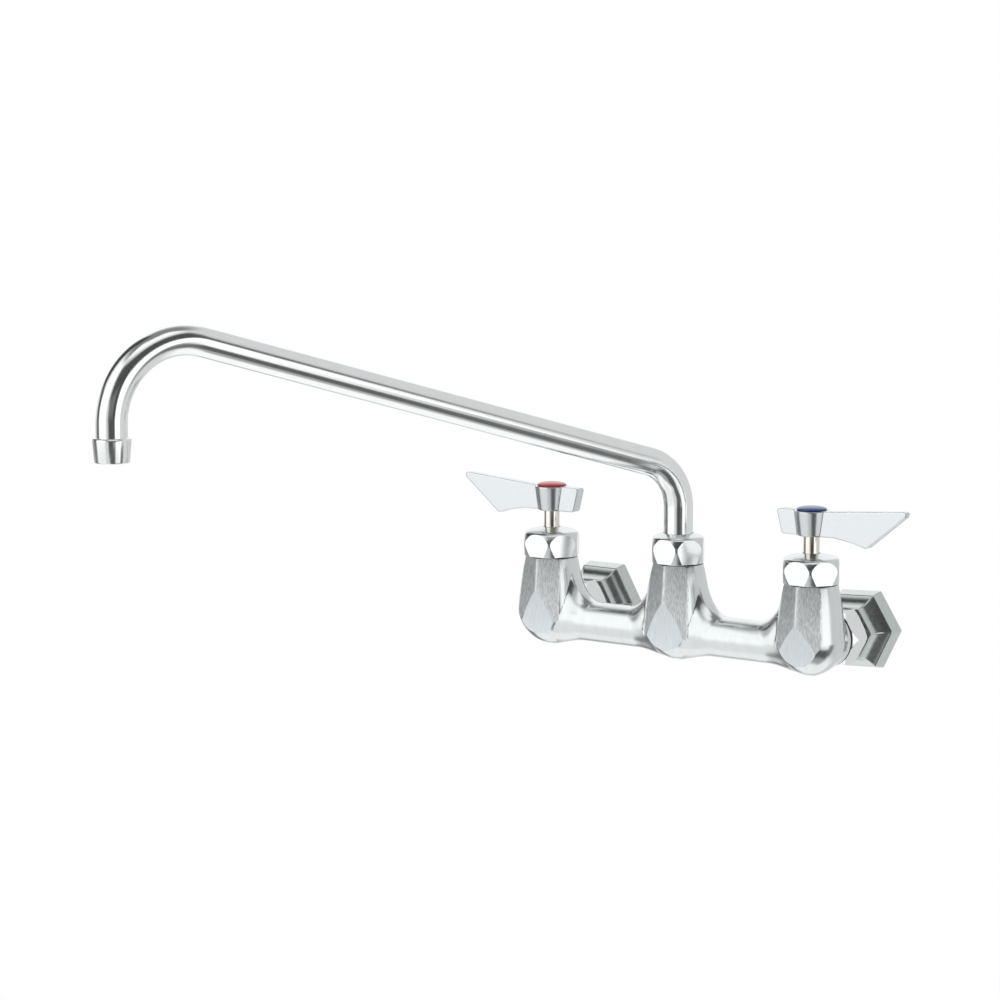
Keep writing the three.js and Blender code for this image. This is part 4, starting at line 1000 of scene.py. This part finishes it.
def tube_faces(count):
    """Faces of both walls of a tube of count rings, and of its two ends."""
    faces = []
    inner = count * TUBE_SIDES
    last = inner - TUBE_SIDES
    sides = [(i, (i + 1) % TUBE_SIDES) for i in range(TUBE_SIDES)]
    for k in range(count - 1):
        for i, j in sides:
            a, b = k * TUBE_SIDES + i, k * TUBE_SIDES + j
            faces.append([a, a + TUBE_SIDES, b + TUBE_SIDES, b])
            faces.append([inner + a, inner + b, inner + b + TUBE_SIDES, inner + a + TUBE_SIDES])
    for i, j in sides:
        faces.append([i, j, inner + j, inner + i])
        faces.append([last + i, inner + last + i, inner + last + j, last + j])
    return faces


def outlet_outline():
    """Half section of the outlet collar, with the ledge that the tube's end stands on."""
    top = OUTLET_HEIGHT + RING_HEIGHT + RING_RISE
    bore = TUBE_RADIUS + SOLDER_GAP
    mouth = RING_BOTTOM - RING_LIP
    ledge = TUBE_END - SEAT_GAP
    outline = [
        (mouth, OUTLET_HEIGHT),
        (RING_BOTTOM, OUTLET_HEIGHT),
        (RING_TOP, top - RING_SHOULDER),
        (RING_TOP - RING_CHAMFER, top),
        (bore, top),
        (bore, ledge),
        (mouth, ledge),
    ]
    return rounded(outline, COLLAR_ROUND) + [outline[0]]


def dress_spout():
    """The bent tube and the collar on its end."""
    line = spout_line()
    tube = make_piece("spout_bent_tube", tube_points(line), tube_faces(len(line)), [bright_chrome])
    stands_for(tube, "spout", "spout_tube", "polished_chrome")
    outlet_x, outlet_y, _ = spout_place(SPOUT_REACH, 0, 0)
    collar = turned_piece("outlet_ring", outlet_outline(), (outlet_x, outlet_y), bright_chrome)
    stands_for(collar, "spout", "outlet_collar", "polished_chrome")


def dress_hidden():
    """Better materials for the solids that stay as they are."""
    looks = (
        (seal_rubber, ("seat_gasket", "o_ring")),
        (ceramic, ("fixed_disc", "moving_disc")),
        (brass, ("barrel", "sleeve")),
        (steel, ("screw",)),
        (fibre, ("inlet_washer",)),
        (plastic, ("thrust_washer", "regulator")),
    )
    for name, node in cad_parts.items():
        for material, parts in looks:
            if any(part in name for part in parts):
                node.data.materials.clear()
                node.data.materials.append(material)


dress_body()
dress_nuts()
dress_valves()
dress_spout()
dress_hidden()

# -------- studio

# The studio by direction from the object: azimuth from the front (-Y) towards +X, and
# elevation, each as centre, half width and softness in degrees, then the brightness. Panels
# are laid over one another in this order, over the room.
ROOM_LEVEL = 0.72
ROOM_TINT = (0.985, 1.0, 1.0, 1)
PANELS = [
    ("floor glow", (0, 180, 0), (-90, 36, 16), 1.08),
    ("upper shade", (0, 180, 0), (90, 22, 20), 0.24),
    ("far left box", (-140, 22, 8), (26, 17, 8), 1.1),
    ("far left low", (-128, 20, 16), (-9, 12, 8), 0.92),
    ("front box", (-29, 25, 8), (-14, 62, 10), 1.26),
    ("front box foot", (-29, 25, 8), (-46, 24, 22), 0.94),
    ("overhead strip", (58, 56, 14), (67, 8, 7), 1.12),
    ("left shade", (-100, 20, 14), (-20, 10, 8), 0.42),
    ("left low shade", (-101, 26, 14), (-38, 4, 9), 0.24),
    ("left flag", (-92, 15, 8), (41, 27, 10), 0.055),
    ("left flag foot", (-74, 9, 8), (2, 14, 8), 0.09),
    ("left flag end", (-76, 4, 12), (-22, 12, 12), 0.2),
    ("right flag", (60, 46, 9), (29, 15, 6), 0.075),
    ("right flag side", (37, 18, 8), (4, 9, 6), 0.19),
    ("right flag foot", (57, 5, 6), (3, 10, 8), 0.05),
    ("right flag middle", (36, 10, 8), (-11, 7, 6), 0.08),
    ("right low shade", (70, 36, 18), (-62, 8, 12), 0.42),
    ("right low flag", (74, 28, 12), (-42, 9, 8), 0.11),
    ("right low side", (46, 12, 10), (-27, 9, 8), 0.12),
    ("right box", (84, 16, 5), (-6, 17, 4), 1.3),
    ("right box foot", (77, 8, 6), (-22, 3, 5), 1.0),
    ("right box shade", (106, 6, 7), (-30, 13, 8), 0.17),
]


def reckon(tree, operation, *values):
    """A step of arithmetic on numbers and sockets."""
    return add_node(tree, "Math", dict(enumerate(values)), operation=operation)["Value"]


def window(tree, away, half, soft):
    """1 within half of a middle, falling softly to 0 past it."""
    sockets = {"Value": away, "From Min": half + soft, "From Max": half}
    return add_node(tree, "MapRange", sockets, interpolation_type="SMOOTHSTEP")["Result"]


def build_world():
    """The panels as a world that the chrome sees, while the camera sees plain white."""
    world = bpy.data.worlds.new("studio")
    bpy.context.scene.world = world
    world.use_nodes = True
    tree = world.node_tree
    tree.nodes.clear()
    direction = add_node(tree, "TexCoord", {})["Generated"]
    split = add_node(tree, "SeparateXYZ", {"Vector": direction})
    to_front = reckon(tree, "MULTIPLY", split["Y"], -1.0)
    azimuth = reckon(tree, "ARCTAN2", split["X"], to_front)
    azimuth = reckon(tree, "MULTIPLY", azimuth, degrees(1))
    elevation = reckon(tree, "ARCSINE", split["Z"])
    elevation = reckon(tree, "MULTIPLY", elevation, degrees(1))
    level = ROOM_LEVEL
    for _, (centre, half, soft), (height, half_height, soft_height), brightness in PANELS:
        up = reckon(tree, "ABSOLUTE", reckon(tree, "SUBTRACT", elevation, height))
        seen = window(tree, up, half_height, soft_height)
        if half < 180:
            away = reckon(tree, "WRAP", reckon(tree, "SUBTRACT", azimuth, centre), 180.0, -180.0)
            away = reckon(tree, "ABSOLUTE", away)
            seen = reckon(tree, "MULTIPLY", seen, window(tree, away, half, soft))
        change = reckon(tree, "SUBTRACT", brightness, level)
        level = reckon(tree, "MULTIPLY_ADD", seen, change, level)
    room = add_node(tree, "Background", {"Strength": level, "Color": ROOM_TINT})["Background"]
    white = add_node(tree, "Background", {"Color": WHITE})["Background"]
    to_camera = add_node(tree, "LightPath", {})["Is Camera Ray"]
    mixed = add_node(tree, "MixShader", {"Fac": to_camera, 1: room, 2: white})["Shader"]
    add_node(tree, "OutputWorld", {"Surface": mixed})


FLOOR_REACH, FLOOR_LEVEL, FLOOR_FORWARD = 900.0, -420.0, -150.0
FLOOR_FULL = 0.2  # share of its reach past which the floor starts to fade
FLOOR_GREY, FLOOR_ROUGHNESS = (0.82, 0.82, 0.82, 1), 0.9
FLOOR_SEEN = 0.55  # light of its own that brings the lit floor up to white for the camera


def build_floor():
    """Pale floor well under the faucet, white to the camera where nothing shades it. The chrome
    sees the studio's floor glow instead, so that no rim shows in it."""
    corners = ((-1, -1), (1, -1), (1, 1), (-1, 1))
    points = [(x * FLOOR_REACH, y * FLOOR_REACH + FLOOR_FORWARD, FLOOR_LEVEL) for x, y in corners]
    material, tree, shader = new_material("pale_floor")
    paths = add_node(tree, "LightPath", {})
    mirrored = reckon(tree, "MAXIMUM", paths["Is Glossy Ray"], paths["Is Transmission Ray"])
    place = add_node(tree, "TexCoord", {})["Object"]
    middle = (0.0, FLOOR_FORWARD / 1000, FLOOR_LEVEL / 1000)
    shifted = add_node(tree, "VectorMath", {0: place, 1: middle}, operation="SUBTRACT")["Vector"]
    away = add_node(tree, "VectorMath", {0: shifted}, operation="LENGTH")["Value"]
    reach = FLOOR_REACH / 1000
    there = window(tree, away, reach * FLOOR_FULL, reach * (1 - FLOOR_FULL))
    light = reckon(tree, "MULTIPLY", paths["Is Camera Ray"], FLOOR_SEEN)
    alpha = reckon(tree, "MULTIPLY", there, reckon(tree, "SUBTRACT", 1.0, mirrored))
    fill(tree, shader, {"Base Color": FLOOR_GREY, "Roughness": FLOOR_ROUGHNESS, "Specular IOR Level": 0.0})
    fill(tree, shader, {"Emission Color": WHITE, "Emission Strength": light, "Alpha": alpha})
    floor = make_piece("floor", np.array(points), [[0, 1, 2, 3]], [material])


# The photograph's view
CAMERA_AZIMUTH, CAMERA_ELEVATION, CAMERA_ROLL = 36.5694, 7.8194, -0.1328
CAMERA_PLACE = (1.29083, -2.00012, 0.40290)
CAMERA_LENS, CAMERA_SENSOR, CAMERA_FAR = 129.659, 36.0, 50.0


def build_camera():
    """The camera: degrees round from the front, up and rolled, its place in metres, and its lens
    and sensor in millimetres."""
    azimuth = radians(CAMERA_AZIMUTH)
    elevation = radians(CAMERA_ELEVATION)
    roll = radians(CAMERA_ROLL)
    right = np.array([cos(azimuth), sin(azimuth), 0.0])
    level = np.array([-sin(azimuth), cos(azimuth), 0.0])
    ahead = level * cos(elevation) - np.array([0.0, 0.0, sin(elevation)])
    up = np.cross(right, ahead)
    turned_right = right * cos(roll) + up * sin(roll)
    turned_up = up * cos(roll) - right * sin(roll)
    data = bpy.data.cameras.new("camera")
    data.sensor_width = CAMERA_SENSOR
    data.lens = CAMERA_LENS
    data.clip_end = CAMERA_FAR
    camera = bpy.data.objects.new("camera", data)
    rows = np.column_stack((turned_right, turned_up, -ahead, CAMERA_PLACE)).tolist()
    camera.matrix_world = Matrix([*rows, (0, 0, 0, 1)])
    bpy.context.scene.collection.objects.link(camera)
    bpy.context.scene.camera = camera


build_world()
build_floor()
build_camera()
bpy.context.scene.view_settings.view_transform = "Standard"
